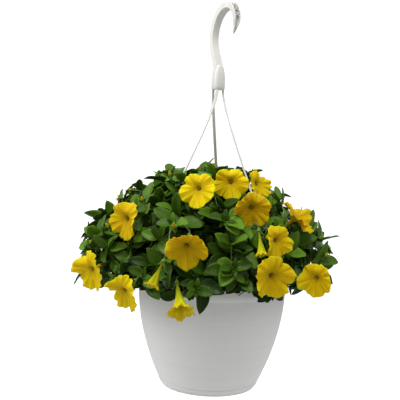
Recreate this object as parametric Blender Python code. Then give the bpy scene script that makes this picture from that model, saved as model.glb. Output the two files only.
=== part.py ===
"""Petunia in a hanging basket: a white moulded pot with its clip-on hanger, compost, leafy shoots and
yellow blooms.

Metres, +Z up. Heights below are measured up from the pot's foot, and azimuths run round the pot's
axis: 0 is the front (-Y), 90 the right (+X). Every piece is parented to an empty that brings the seat
of the hook, where the basket hangs, to the world origin.
"""

import math
import random

import bmesh
import bpy
from mathutils import Matrix, Vector
from mathutils.bvhtree import BVHTree

# ---- driving dimensions -------------------------------------------------------------------------
GAP = 0.0003  # air between pieces that touch

POT_HEIGHT = 0.198
RIM_RADIUS = 0.1373  # outside of the rim's skirt
RIM_DEPTH = 0.020  # height of the skirt
SKIRT_THICKNESS = 0.0015
LIP_THICKNESS = 0.0023
WALL_TOP_RADIUS = 0.1325  # outside of the wall under the lip
WALL_FOOT_RADIUS = 0.0885  # outside of the wall at the crease over the foot
WALL_FOOT_HEIGHT = 0.0055
WALL_THICKNESS = 0.0018
WALL_BELLY = 1.9  # 1 is a plain cone, more swells the wall outwards
FOOT_RADIUS = 0.0855
FOOT_WIDTH = 0.0045
FLOOR_HEIGHT = 0.003  # underside of the pot's floor
POT_EDGE = 0.001  # the small bevels of the pot's edges
RIM_BEVEL = 0.0015
SLOT_CUT = 0.008  # height of the tool that cuts a slot
DRAIN_CUT = (-0.002, 0.012)  # bottom and top of the tool that cuts a drain hole
POT_SIDES = 36
POT_TURN = 4.0  # degrees, brings a corner of the faceted pot to each clip

DRAIN_HOLES = 6
DRAIN_RADIUS = 0.0045
DRAIN_CIRCLE = 0.058

SOIL_TOP = 0.180
SOIL_CROWN = 0.003  # the middle of the compost stands this much higher
SOIL_EDGE = 0.004  # the crown starts this far in from the wall

SEAT_HEIGHT = 0.674  # inner top of the hook: the basket hangs here
SEAT_OFFSET = 0.015  # of the seat from the pot's axis, along the hook's plane
HOOK_AZIMUTH = 42.0  # the hook's mouth opens to the front right
HOOK_BACK = 0.039  # from the seat back to the middle of the rising limb
HOOK_BACK_DROP = 0.057  # and how far the limb runs down before it stands upright
HOOK_FRONT = 0.0175  # from the seat forward to the middle of the falling limb
HOOK_FRONT_DROP = 0.027
HOOK_DEPTH = 0.0084
HOOK_WIDTH = 0.0150
HOOK_WALL = 0.0020
# the tip turns in and thins out: how far back, how far down, share of the section
HOOK_TIP = ((0.0012, 0.009, 0.60), (0.0036, 0.017, 0.34), (0.0062, 0.0225, 0.14))
HOOK_TIP_SHARE = 0.84  # of the section where the tip starts
NECK_SWELL = 0.22  # the channel is this much wider where it enters the boss
NECK_SINK = 0.014  # how deep it stands in the boss
NECK_LEAVE = 0.018  # how long it keeps the upright way at its low and its high end
NECK_ARRIVE = 0.024
RIB_LEAN = 38.0  # degrees
RIB_THICKNESS = 0.0012
RIB_SINK = 0.0015  # the ribs end this far under the channel's edges
SEAT_SWELL = 1.30  # the channel is this much bigger at the seat
BOSS_BOTTOM = 0.532
BOSS_TOP = 0.576
BOSS_RADIUS = 0.0112
BOSS_OFFSET = -0.0082  # along the hook's plane, from the pot's axis
BOSS_SECTIONS = ((0.0, 0.95), (0.08, 1.04), (0.45, 1.0), (0.8, 0.82), (1.0, 0.62))  # shares of height, radius
BOSS_LOBE = 0.10  # how far its three lobes swell, over the radius
BOSS_SIDES = 12

ARM_AZIMUTHS = (54.0, -66.0, 174.0)
ARM_TWIST = 60.0  # degrees round the boss from where each arm ends on the rim
ARM_ROOT_RADIUS = 0.0102  # the arms leave the boss here
ARM_DROP = 0.038  # how long an arm keeps the upright way it leaves the boss in
ARM_REACH = 0.42  # share of the arm that comes straight in to the rim
ARM_WIDTH = 0.0052
ARM_THICKNESS = 0.0024
ARM_CIRCLE = 0.1342  # the clips stand on this radius
ARM_BEND_HEIGHT = 0.226  # the arms turn upright here
ARM_ELBOW = 0.009  # height of that bend
ARM_SINK = 0.008  # how deep an arm stands in the boss
ARM_STEPS = (0.0, 0.15, 0.32, 0.52, 0.76, 0.97)  # shares of its length where its skin has a ring
SHOULDER_HEIGHT = 0.0020  # over the rim
BARB_LENGTH = 0.005
BARB_TAPER = 0.6  # of the tongue's width at the barb's end
CLIP_WIDTH = 0.0096
CLIP_THICKNESS = 0.0012
BARB_THICKNESS = 0.0015
TONGUE_WIDTH = 0.0068
SLOT_WIDTH = 0.0080
SLOT_DEPTH = 0.0020

DOME_CENTRE = Vector((-0.010, 0.0, 0.195))  # leaves and blooms face away from here
LEAF_SLENDERNESS = 0.54  # width over length
LEAF_FOLD = 0.30  # how far the edges stand above the rib, over the half width
LEAF_RIB = 0.0006  # half the blade's thickness along the rib
LEAF_LENGTH = 0.049
LEAF_SPREAD = (0.86, 1.12)  # a leaf's length, as shares of the usual one
LEAF_ARCH = (0.10, 0.30)  # how far its tip bends down, over the length
LEAF_SWING = 14.0  # degrees that it may stand off its place round the stem
YOUNG_LEAF = 0.72  # length share of the two leaves at a shoot's tip
LEAF_SHRINKS = (1.0, 0.86, 0.72)  # what is tried, in this order, until a leaf stands free
LEAF_TURNS = (78, 52, 100, 30, 124, 8)  # degrees round the stem
LEAF_LEANS = (58, 38, 76)  # degrees away from the stem
LEAF_AIR = 0.0007  # round a leaf
STALK_AIR = 0.0008  # round a flower stalk
LEAF_OVER_SOIL = 0.006
LEAF_UNDER_RIM = 0.035  # a leaf outside the pot hangs no lower than this
LEAF_PLACES = (0.0, 0.005, 0.022, 0.041, 0.062, 0.085, 0.112)  # along the shoot, back from its tip
LOW_SHOOT = 0.290  # shoots with their tip under this height carry one leaf less

STEM_FOOT_RADIUS = 0.0021
STEM_TIP_RADIUS = 0.0011
STEM_STEPS = 7
STEM_TIP = 0.985  # the first leaf stands at this share of the stem
STEM_BARE = 0.16  # no leaf stands lower than this share
ROOT_HOLE_RADIUS = 0.0032
ROOT_HOLE_DEPTH = 0.013
STALK_RADIUS = 0.0010
STALK_LENGTH = 0.038  # what a stalk would like to measure
STALK_STARTS = [0.96 - 0.05 * i for i in range(14)]  # shares of the stem where a stalk may leave it
STALK_PULL = 0.4  # how long a stalk keeps its way at either end, over its length
STALK_BEND = 0.55  # a stalk that turns more than this gets more rings
CUP_DEPTH = 0.006  # of the cup that the bloom stands in
CUP_RADIUS = 0.0036
CUP_FLOOR_RADIUS = 0.0028
CUP_SHOULDER = 0.0015  # the cup is widest this far under its floor
SEPAL_RISE = 0.011  # of a sepal's tip over the cup's floor
SEPAL_SPREAD = 0.0095  # of the tip from the axis
NOTCH_RISE = 0.0006  # of the notch between two sepals

# leaves keep clear of the rim and of the arms
GUARD_BOTTOM = 0.150
GUARD_IN = 0.0035  # inside the wall
GUARD_OUT = 0.0022  # outside the skirt
GUARD_OVER = 0.0016  # over the rim
GUARD_SIDES = 48
ARM_GUARD_RADIUS = 0.0046

# blooms, and the trumpets that are half-open blooms
TRUMPET_WIDTH = 50  # mm: a narrower bloom is a trumpet
LOBES = 5
MARGIN = 4 * LOBES
# radius share of the margin at a notch, a shoulder, a lobe's middle and the next shoulder
MARGIN_SHARES = (0.84, 0.96, 1.0, 0.96)
MARGIN_WAVE = 0.05  # how much the margin waves up and down, over the limb's radius
NOTCH_DROP = 0.10  # how far the notches lie back, over the limb's radius
NOTCH_FOLD = 0.25  # a trumpet's notches are still folded in by this share
BLOOM_DEPTH = 0.033  # calyx to margin, of a bloom BLOOM_SPAN across
BLOOM_SPAN = 0.060
TRUMPET_DEPTH = 0.045  # of a trumpet TRUMPET_SPAN across
TRUMPET_SPAN = 0.030
TUBE_FOOT_RADIUS = 0.0020
TUBE_NECK = 0.56  # share of the depth where the tube opens
BLOOM_NECK_RADIUS = 0.0038
TRUMPET_NECK_SHARE = 0.38  # a trumpet's radius there, over the limb's
TRUMPET_BOWL_DEPTH = 0.86  # share of the depth where the limb spreads
BLOOM_BOWL_DEPTH = 0.78
BLOOM_BOWL_SHARE = 0.42  # radius there, over the limb's
TRUMPET_BOWL_SHARE = 0.66
BLOOM_THROAT = 0.39  # share of the depth of the throat's deepest point
TRUMPET_THROAT = 0.34
PETAL_SKIN = 0.0006  # between the skins at the bowl, sideways
PETAL_LIFT = 0.0012  # and along the axis
NECK_SKIN = 0.0011
NECK_LIFT = 0.04  # over the depth

# ---- the plant: shoots and what they carry --------------------------------------------------------
# name: azimuth, radius (mm) and height (mm) of the shoot's tip, and radius (mm) of its root
SHOOTS = {
    "low_left": (-73, 226, 246, 76),
    "low_left_front": (-47, 216, 214, 78),
    "low_front_left": (-34, 200, 218, 72),
    "low_front": (-7, 206, 212, 78),
    "low_front_right": (10, 198, 246, 70),
    "low_right_front": (33, 196, 216, 78),
    "low_right": (62, 196, 232, 76),
    "low_right_side": (84, 200, 256, 74),
    "low_back_right": (110, 205, 226, 76),
    "low_back_1": (139, 212, 221, 76),
    "low_back_2": (163, 206, 232, 76),
    "low_back_3": (190, 214, 216, 76),
    "low_back_4": (216, 212, 236, 76),
    "low_back_left": (242, 220, 222, 76),
    "low_left_side": (267, 228, 264, 76),
    "mid_left": (-55, 164, 322, 46),
    "mid_front_left": (-24, 166, 306, 44),
    "mid_front": (6, 160, 318, 46),
    "mid_right": (40, 160, 300, 46),
    "mid_right_side": (92, 140, 312, 46),
    "mid_back_right": (140, 156, 314, 46),
    "mid_back": (190, 160, 318, 46),
    "mid_back_left": (244, 164, 322, 46),
    "top_left": (-40, 92, 372, 18),
    "top_front": (0, 36, 383, 20),
    "top_right": (118, 62, 378, 20),
    "top_back": (204, 66, 378, 20),
    "top_back_left": (262, 86, 378, 18),
}

# name: shoot, azimuth, radius (mm), height (mm), yaw, pitch, width across (mm)
BLOOMS = {
    "bloom_left_front": ("mid_left", -48, 204, 309, -43, -6, 66),
    "bloom_far_left": ("low_left", -59, 243, 218, -43, -16, 70),
    "bloom_low_left": ("low_left_front", -37, 240, 197, -40, -30, 66),
    "bloom_front": ("mid_front_left", -11.5, 217, 276, -6, -30, 70),
    "bloom_top_left": ("top_left", -15, 126, 365, -20, 8, 64),
    "bloom_top_front": ("top_front", 14, 99, 376, 2, 6, 61),
    "bloom_top_right": ("top_right", 84, 78, 371, 48, 18, 56),
    "bloom_upper_front": ("mid_front", 22, 162, 337, 14, -14, 63),
    "bloom_right_edge": ("mid_right", 56, 171, 327, 72, 44, 70),
    "bloom_right_front": ("mid_right", 31, 203, 291, 42, 0, 59),
    "bloom_low_right": ("low_right_front", 25.5, 226, 237, 26, -8, 70),
    "bloom_far_right": ("low_right", 48, 224, 227, -26, -10, 60),
    "bloom_right_side": ("low_right_side", 100, 190, 208, 100, -14, 56),
    "bloom_back_right": ("low_back_right", 133, 216, 224, 134, -4, 60),
    "bloom_back_low": ("low_back_1", 150, 228, 206, 150, -20, 60),
    "bloom_back_right_up": ("mid_back_right", 152, 178, 318, 150, 16, 60),
    "bloom_back": ("low_back_2", 175, 222, 252, 176, -2, 62),
    "bloom_back_left": ("low_back_4", 228, 224, 250, 228, 0, 62),
    "bloom_left_back_low": ("low_back_left", 238, 230, 205, 240, -16, 60),
    "bloom_left_back_up": ("mid_back_left", 230, 166, 315, 232, 20, 56),
    "bloom_top_back": ("top_back", 190, 98, 376, 188, 36, 58),
}
# half-open blooms, still funnels: the same columns
TRUMPETS = {
    "trumpet_left": ("mid_front_left", -24, 231, 215, -50, -62, 27),
    "trumpet_rim": ("low_front", -11.5, 231, 179, 14, -44, 46),
    "trumpet_right": ("low_front_right", 21.5, 208, 269, 20, -66, 24),
}


def place(azimuth, radius, height):
    """A point round the pot's axis."""
    turn = math.radians(azimuth)
    return Vector((radius * math.sin(turn), -radius * math.cos(turn), height))


def facing(yaw, pitch):
    """The unit direction that looks out at an azimuth and up by a pitch, in degrees."""
    level = math.cos(math.radians(pitch))
    return place(yaw, level, math.sin(math.radians(pitch)))


# ---- making objects -------------------------------------------------------------------------------
def clear_scene():
    for item in list(bpy.data.objects):
        bpy.data.objects.remove(item)


def finish_material(name, colour, roughness):
    """A material of plain colour for the solids."""
    material = bpy.data.materials.new(name)
    material.use_nodes = True
    shader = material.node_tree.nodes["Principled BSDF"]
    shader.inputs["Base Color"].default_value = (*colour, 1.0)
    shader.inputs["Roughness"].default_value = roughness
    shader.inputs["Metallic"].default_value = 0.0
    return material


def solid(name, points, faces, material=None):
    """A mesh object from points and faces, with its faces turned outwards."""
    mesh = bpy.data.meshes.new(name)
    mesh.from_pydata([tuple(point) for point in points], [], faces)
    shell = bmesh.new()
    shell.from_mesh(mesh)
    bmesh.ops.recalc_face_normals(shell, faces=shell.faces)
    shell.to_mesh(mesh)
    shell.free()
    item = bpy.data.objects.new(name, mesh)
    bpy.context.scene.collection.objects.link(item)
    if material:
        mesh.materials.append(material)
    return item


def apply_modifier(item, modifier):
    bpy.context.view_layer.objects.active = item
    bpy.ops.object.modifier_apply(modifier=modifier.name)


def fuse(item, others):
    """Joins the other pieces to item in one body, by a Boolean union on a collection."""
    group = bpy.data.collections.new(item.name + "_pieces")
    for other in others:
        group.objects.link(other)
    union = item.modifiers.new("union", "BOOLEAN")
    union.operation = "UNION"
    union.operand_type = "COLLECTION"
    union.collection = group
    union.solver = "EXACT"
    apply_modifier(item, union)
    for other in others:
        bpy.data.objects.remove(other)
    bpy.data.collections.remove(group)


def cut(item, cutters):
    """Cuts the cutters' shapes out of item."""
    for cutter in cutters:
        difference = item.modifiers.new("cut", "BOOLEAN")
        difference.operation = "DIFFERENCE"
        difference.object = cutter
        apply_modifier(item, difference)
        bpy.data.objects.remove(cutter)


def lofted(rings):
    """Points and faces of a closed skin over rings of equally many points, capped at both ends."""
    sides = len(rings[0])
    points = [point for ring in rings for point in ring]
    faces = []
    for r in range(len(rings) - 1):
        for k in range(sides):
            near, far = r * sides, (r + 1) * sides
            after = (k + 1) % sides
            faces.append((near + k, near + after, far + after, far + k))
    last = (len(rings) - 1) * sides
    faces.append(tuple(range(sides - 1, -1, -1)))
    faces.append(tuple(last + k for k in range(sides)))
    return points, faces


def bezier(a, b, c, d, share):
    """A point on a cubic curve."""
    rest = 1.0 - share
    return a * rest**3 + b * (3 * rest * rest * share) + c * (3 * rest * share * share) + d * share**3


def path_tangents(path):
    """The unit direction of a path at each of its points."""
    last = len(path) - 1
    return [(path[min(i + 1, last)] - path[max(i - 1, 0)]).normalized() for i in range(last + 1)]


def tube_rings(path, radii, sides, across=None):
    """Rings of a round tube along a path, carried from point to point without twisting."""
    rings = []
    for point, along, radius in zip(path, path_tangents(path), radii):
        start = across or (Vector((0.0, 0.0, 1.0)) if abs(along.z) < 0.8 else Vector((0.0, 1.0, 0.0)))
        across = (start - along * start.dot(along)).normalized()
        beside = along.cross(across)
        turns = [2 * math.pi * k / sides for k in range(sides)]
        rings.append([point + (across * math.cos(a) + beside * math.sin(a)) * radius for a in turns])
    return rings


# ---- pot ------------------------------------------------------------------------------------------
def wall_radius(height):
    """Outside radius of the pot's wall, which swells upwards like a bell."""
    skirt_bottom = POT_HEIGHT - RIM_DEPTH
    share = (height - WALL_FOOT_HEIGHT) / (skirt_bottom - WALL_FOOT_HEIGHT)
    share = min(max(share, 0.0), 1.0)
    return WALL_FOOT_RADIUS + (WALL_TOP_RADIUS - WALL_FOOT_RADIUS) * (1 - (1 - share) ** WALL_BELLY)


def wall_heights(steps):
    """Heights where the wall's profile has a point."""
    skirt_bottom = POT_HEIGHT - RIM_DEPTH
    return [WALL_FOOT_HEIGHT + (skirt_bottom - WALL_FOOT_HEIGHT) * i / steps for i in range(steps + 1)]


def inside_heights():
    """Heights of the points of the wall's inside, and of the compost against it, from the top down."""
    return wall_heights(3)[:0:-1]


def turned(name, profile, material):
    """A solid of revolution from a profile that runs from axis to axis."""
    shell = bmesh.new()
    points = [shell.verts.new((radius, 0.0, height)) for radius, height in profile]
    edges = [shell.edges.new(pair) for pair in zip(points, points[1:])]
    bmesh.ops.spin(
        shell, geom=points + edges, cent=(0, 0, 0), axis=(0, 0, 1), angle=2 * math.pi,
        steps=POT_SIDES, use_merge=True,
    )
    bmesh.ops.remove_doubles(shell, verts=shell.verts, dist=0.000001)
    bmesh.ops.recalc_face_normals(shell, faces=shell.faces)
    bmesh.ops.rotate(shell, verts=shell.verts, matrix=Matrix.Rotation(math.radians(POT_TURN - 90), 3, "Z"))
    mesh = bpy.data.meshes.new(name)
    shell.to_mesh(mesh)
    shell.free()
    mesh.materials.append(material)
    mesh.shade_smooth()
    mesh.set_sharp_from_angle(angle=math.radians(30))
    item = bpy.data.objects.new(name, mesh)
    bpy.context.scene.collection.objects.link(item)
    return item


def block(name, centre, size, azimuth):
    """A box turned to an azimuth: size is radial, sideways, upright."""
    out, side, up = facing(azimuth, 0), facing(azimuth + 90, 0), Vector((0.0, 0.0, 1.0))
    rings = []
    for k in (-0.5, 0.5):
        corners = ((-0.5, -0.5), (0.5, -0.5), (0.5, 0.5), (-0.5, 0.5))
        rings.append([centre + out * size[0] * i + side * size[1] * j + up * size[2] * k for i, j in corners])
    return solid(name, *lofted(rings))


def upright_prism(points, radius, low, high, sides):
    """Points and faces of upright prisms, all in one mesh, round the given points."""
    all_points, all_faces = [], []
    for middle in points:
        rings = []
        for height in (low, high):
            turns = [360.0 * k / sides for k in range(sides)]
            rings.append([Vector((middle.x, middle.y, 0.0)) + place(a, radius, height) for a in turns])
        ring_points, ring_faces = lofted(rings)
        start = len(all_points)
        all_points += ring_points
        all_faces += [tuple(start + i for i in face) for face in ring_faces]
    return all_points, all_faces


def make_pot(material):
    skirt_bottom = POT_HEIGHT - RIM_DEPTH
    skirt_inside = RIM_RADIUS - SKIRT_THICKNESS
    wall_inside = WALL_TOP_RADIUS - WALL_THICKNESS
    foot_inside = FOOT_RADIUS - FOOT_WIDTH
    profile = [(0.0, FLOOR_HEIGHT), (foot_inside - POT_EDGE, FLOOR_HEIGHT), (foot_inside, 0.0)]
    profile += [(FOOT_RADIUS, 0.0), (FOOT_RADIUS, WALL_FOOT_HEIGHT - POT_EDGE)]
    profile += [(wall_radius(height), height) for height in wall_heights(5)]
    profile += [(WALL_TOP_RADIUS, POT_HEIGHT - LIP_THICKNESS), (skirt_inside, POT_HEIGHT - LIP_THICKNESS)]
    profile += [(skirt_inside, skirt_bottom), (RIM_RADIUS, skirt_bottom)]
    profile += [(RIM_RADIUS, POT_HEIGHT - RIM_BEVEL), (RIM_RADIUS - RIM_BEVEL, POT_HEIGHT)]
    profile += [(wall_inside + POT_EDGE, POT_HEIGHT), (wall_inside, POT_HEIGHT - POT_EDGE)]
    profile += [(wall_radius(height) - WALL_THICKNESS, height) for height in inside_heights()]
    profile += [(FOOT_RADIUS - 2 * POT_EDGE, FLOOR_HEIGHT + WALL_THICKNESS + POT_EDGE)]
    profile += [(0.0, FLOOR_HEIGHT + WALL_THICKNESS)]
    pot = turned("pot", profile, material)

    slots = []
    for azimuth in ARM_AZIMUTHS:
        centre = place(azimuth, ARM_CIRCLE, POT_HEIGHT)
        slots.append(block("slot", centre, (SLOT_DEPTH, SLOT_WIDTH, SLOT_CUT), azimuth))
    spots = [place(360.0 * k / DRAIN_HOLES, DRAIN_CIRCLE, 0.0) for k in range(DRAIN_HOLES)]
    drains = solid("drains", *upright_prism(spots, DRAIN_RADIUS, *DRAIN_CUT, 6))
    cut(pot, slots + [drains])
    return pot


# ---- compost --------------------------------------------------------------------------------------
def make_soil(material, roots):
    """The compost fills the pot, with a plain hole for each shoot."""
    clear = WALL_THICKNESS + 2 * GAP
    floor = FLOOR_HEIGHT + WALL_THICKNESS + GAP
    heights = inside_heights()
    profile = [(0.0, floor), (FOOT_RADIUS - 4 * POT_EDGE, floor + POT_EDGE)]
    profile += [(wall_radius(height) - clear, height) for height in reversed(heights)]
    profile += [(wall_radius(SOIL_TOP) - clear - SOIL_EDGE, SOIL_TOP), (0.0, SOIL_TOP + SOIL_CROWN)]
    soil = turned("soil", profile, material)
    holes = solid("holes", *upright_prism(roots, ROOT_HOLE_RADIUS, SOIL_TOP - ROOT_HOLE_DEPTH, POT_HEIGHT, 5))
    cut(soil, [holes])
    return soil


# ---- hanger ---------------------------------------------------------------------------------------
def hook_route(back_steps=6, front_steps=5, neck_steps=4):
    """Stations along the middle of the hook's channel, from the boss over the seat to the tip.

    Each is (distance along the hook's plane, height, share of the full width, share of the depth)."""
    top = SEAT_HEIGHT + HOOK_DEPTH * SEAT_SWELL / 2
    low = Vector((BOSS_OFFSET, BOSS_TOP - NECK_SINK))
    high = Vector((SEAT_OFFSET - HOOK_BACK, top - HOOK_BACK_DROP))
    stations = []
    for i in range(neck_steps):
        leave, arrive = low + Vector((0.0, NECK_LEAVE)), high - Vector((0.0, NECK_ARRIVE))
        point = bezier(low, leave, arrive, high, i / neck_steps)
        stations.append((point.x, point.y, 1.0 + NECK_SWELL * (1 - i / neck_steps), 1.0))
    for i in range(back_steps):
        turn = math.pi / 2 * i / back_steps
        reach, rise = -HOOK_BACK * math.cos(turn), HOOK_BACK_DROP * (math.sin(turn) - 1)
        share = 1.0 + (SEAT_SWELL - 1.0) * (i / back_steps) ** 1.5
        stations.append((SEAT_OFFSET + reach, top + rise, share, share))
    for i in range(front_steps + 1):
        turn = math.pi / 2 * i / front_steps
        reach, rise = HOOK_FRONT * math.sin(turn), HOOK_FRONT_DROP * (math.cos(turn) - 1)
        share = SEAT_SWELL - (SEAT_SWELL - HOOK_TIP_SHARE) * i / front_steps
        stations.append((SEAT_OFFSET + reach, top + rise, share, share))
    for back, drop, share in HOOK_TIP:
        stations.append((SEAT_OFFSET + HOOK_FRONT - back, top - HOOK_FRONT_DROP - drop, share, share))
    return stations


def hook_frames():
    """Middle, direction, outward normal, width share and depth share at each station of the hook."""
    plane, up = facing(HOOK_AZIMUTH, 0), Vector((0.0, 0.0, 1.0))
    stations = hook_route()
    middles = [plane * station[0] + up * station[1] for station in stations]
    frames = []
    for middle, along, (_, _, width, share) in zip(middles, path_tangents(middles), stations):
        outward = plane * -along.z + up * along.dot(plane)
        frames.append((middle, along, outward, width, share))
    return frames


def channel_ring(middle, outward, across, width, share):
    """The hook's section: a web on the inside of the bend, and a wall along each edge."""
    half, depth, wall = HOOK_WIDTH * width / 2, HOOK_DEPTH * share / 2, HOOK_WALL * min(share, 1.0)
    corners = (
        (-half, -depth), (half, -depth), (half, depth), (half - wall, depth),
        (half - wall, -depth + wall), (wall - half, -depth + wall), (wall - half, depth), (-half, depth),
    )
    return [middle + across * sideways + outward * out for sideways, out in corners]


def hook_ribs(frames, across):
    """Diagonal ribs that stiffen the open side of the channel, two crossing in each bay."""
    ribs = []
    for bay in range(3, len(frames) - 5, 2):
        middle, along, outward, width, share = frames[bay]
        for lean in (-1, 1):
            run = across * math.cos(math.radians(RIB_LEAN)) + along * lean * math.sin(math.radians(RIB_LEAN))
            thick = run.cross(outward).normalized() * RIB_THICKNESS / 2
            half = run * (HOOK_WIDTH * width - HOOK_WALL) / 2 / math.cos(math.radians(RIB_LEAN))
            low = outward * (HOOK_WALL / 2 - HOOK_DEPTH * share / 2)
            high = outward * (HOOK_DEPTH * share / 2 - RIB_SINK)
            ring = [middle - half - thick, middle + half - thick, middle + half + thick, middle - half + thick]
            ribs.append(solid("rib", *lofted([[p + low for p in ring], [p + high for p in ring]])))
    return ribs


def arm_path(azimuth):
    """Middle of one arm, from inside the boss down to the rim."""
    boss = facing(HOOK_AZIMUTH, 0) * BOSS_OFFSET
    top = boss + place(azimuth + ARM_TWIST, ARM_ROOT_RADIUS * 0.8, BOSS_BOTTOM + ARM_SINK)
    root = boss + place(azimuth + ARM_TWIST, ARM_ROOT_RADIUS, BOSS_BOTTOM)
    foot = place(azimuth, ARM_CIRCLE, ARM_BEND_HEIGHT)
    leave, arrive = root - Vector((0.0, 0.0, ARM_DROP)), foot.lerp(root, ARM_REACH)
    path = [top] + [bezier(root, leave, arrive, foot, share) for share in ARM_STEPS]
    elbow = place(azimuth, ARM_CIRCLE, ARM_BEND_HEIGHT - ARM_ELBOW)
    return path + [elbow, place(azimuth, ARM_CIRCLE, POT_HEIGHT + SHOULDER_HEIGHT + GAP)]


def strap_ring(middle, wide, thick, width, thickness):
    """A flat section with four corners."""
    half, flat = width / 2, thickness / 2
    corners = ((-half, -flat), (half, -flat), (half, flat), (-half, flat))
    return [middle + wide * i + thick * j for i, j in corners]


def make_arm(azimuth):
    """One flat arm with its snap-in clip: a shoulder over the lip, a tongue through it, a barb under it."""
    path = arm_path(azimuth)
    tangents = path_tangents(path)
    tangents[-1] = Vector((0.0, 0.0, -1.0))
    rings = []
    for i, (middle, along) in enumerate(zip(path, tangents)):
        turn = azimuth + ARM_TWIST * max(0.0, 1 - i / 5)
        side = facing(turn + 90, 0)
        wide = (side - along * side.dot(along)).normalized()
        rings.append(strap_ring(middle, wide, along.cross(wide), ARM_WIDTH, ARM_THICKNESS))
    wide, thick = facing(azimuth + 90, 0), facing(azimuth, 0)
    under_lip = POT_HEIGHT - LIP_THICKNESS - GAP
    steps = (
        (POT_HEIGHT + SHOULDER_HEIGHT, CLIP_WIDTH, ARM_THICKNESS),
        (POT_HEIGHT + GAP, CLIP_WIDTH, ARM_THICKNESS),
        (POT_HEIGHT + GAP, TONGUE_WIDTH, CLIP_THICKNESS),
        (under_lip, TONGUE_WIDTH, CLIP_THICKNESS),
        (under_lip, CLIP_WIDTH, BARB_THICKNESS),
        (under_lip - BARB_LENGTH, TONGUE_WIDTH * BARB_TAPER, CLIP_THICKNESS * BARB_TAPER),
    )
    for height, width, thickness in steps:
        rings.append(strap_ring(place(azimuth, ARM_CIRCLE, height), wide, thick, width, thickness))
    return solid("arm", *lofted(rings))


def make_boss():
    """The knuckle under the hook, with a lobe where each arm leaves it."""
    middle = facing(HOOK_AZIMUTH, 0) * BOSS_OFFSET
    rings = []
    for rise, share in BOSS_SECTIONS:
        height = BOSS_BOTTOM + (BOSS_TOP - BOSS_BOTTOM) * rise
        ring = []
        for k in range(BOSS_SIDES):
            turn = 360.0 * k / BOSS_SIDES
            lobe = 1 + BOSS_LOBE * math.cos(math.radians(3 * (turn - ARM_AZIMUTHS[0] - ARM_TWIST)))
            ring.append(middle + place(turn, BOSS_RADIUS * share * lobe, height))
        rings.append(ring)
    return solid("boss", *lofted(rings))


def make_hanger(material):
    """Hook, knuckle and three arms, moulded in one piece."""
    across = facing(HOOK_AZIMUTH + 90, 0)
    frames = hook_frames()
    rings = [channel_ring(frame[0], frame[2], across, *frame[3:]) for frame in frames]
    hanger = solid("hanger", *lofted(rings), material)
    pieces = hook_ribs(frames, across) + [make_boss()]
    pieces += [make_arm(azimuth) for azimuth in ARM_AZIMUTHS]
    fuse(hanger, pieces)
    return hanger


# ---- leaves ---------------------------------------------------------------------------------------
# share of the length, share of the half width
LEAF_STATIONS = ((0.26, 0.80), (0.54, 1.0), (0.81, 0.64))


def leaf_mesh(leaf, spare=0.0):
    """A folded, arching blade. With spare air round it, and without its foot, it tests what it would meet."""
    base, along, face, length, arch = leaf
    beside = along.cross(face)
    half_width = length * LEAF_SLENDERNESS / 2
    points = []
    for run, width in LEAF_STATIONS:
        middle = base + along * (length * run) - face * (arch * length * run * run)
        half = half_width * width + spare
        edge = face * (half * LEAF_FOLD)
        rib = face * (LEAF_RIB + spare)
        points += [middle - beside * half + edge, middle + rib, middle + beside * half + edge, middle - rib]
    foot = len(points)
    tip = foot + 1
    points.append(base + along * (0.12 * length if spare else 0.0))
    points.append(base + along * (length + spare) - face * (arch * length))
    faces = []
    for ring in range(0, foot - 4, 4):
        left, top, right, under = range(ring, ring + 4)
        for edge, rib in ((left, top), (right, top), (right, under), (left, under)):
            faces += [(edge, rib, rib + 4), (edge, rib + 4, edge + 4)]
    for a, b in ((0, 1), (1, 2), (2, 3), (3, 0)):
        faces += [(b, a, foot), (foot - 4 + a, foot - 4 + b, tip)]
    return points, faces


# ---- blooms ---------------------------------------------------------------------------------------
def bloom_depth(width, trumpet):
    """How far the margin stands in front of the calyx."""
    if trumpet:
        return TRUMPET_DEPTH * (width / TRUMPET_SPAN) ** 0.5
    return BLOOM_DEPTH * (width / BLOOM_SPAN) ** 0.5


def bloom_frame(bloom):
    """Where a bloom's tube starts, which way it faces, and its two cross directions."""
    shoot, azimuth, radius, height, yaw, pitch, width = bloom
    trumpet = width < TRUMPET_WIDTH
    out = facing(yaw, pitch)
    beside = facing(yaw + 90, 0)
    foot = place(azimuth, radius / 1000, height / 1000) - out * bloom_depth(width / 1000, trumpet)
    return foot, out, beside, beside.cross(out)


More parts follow.
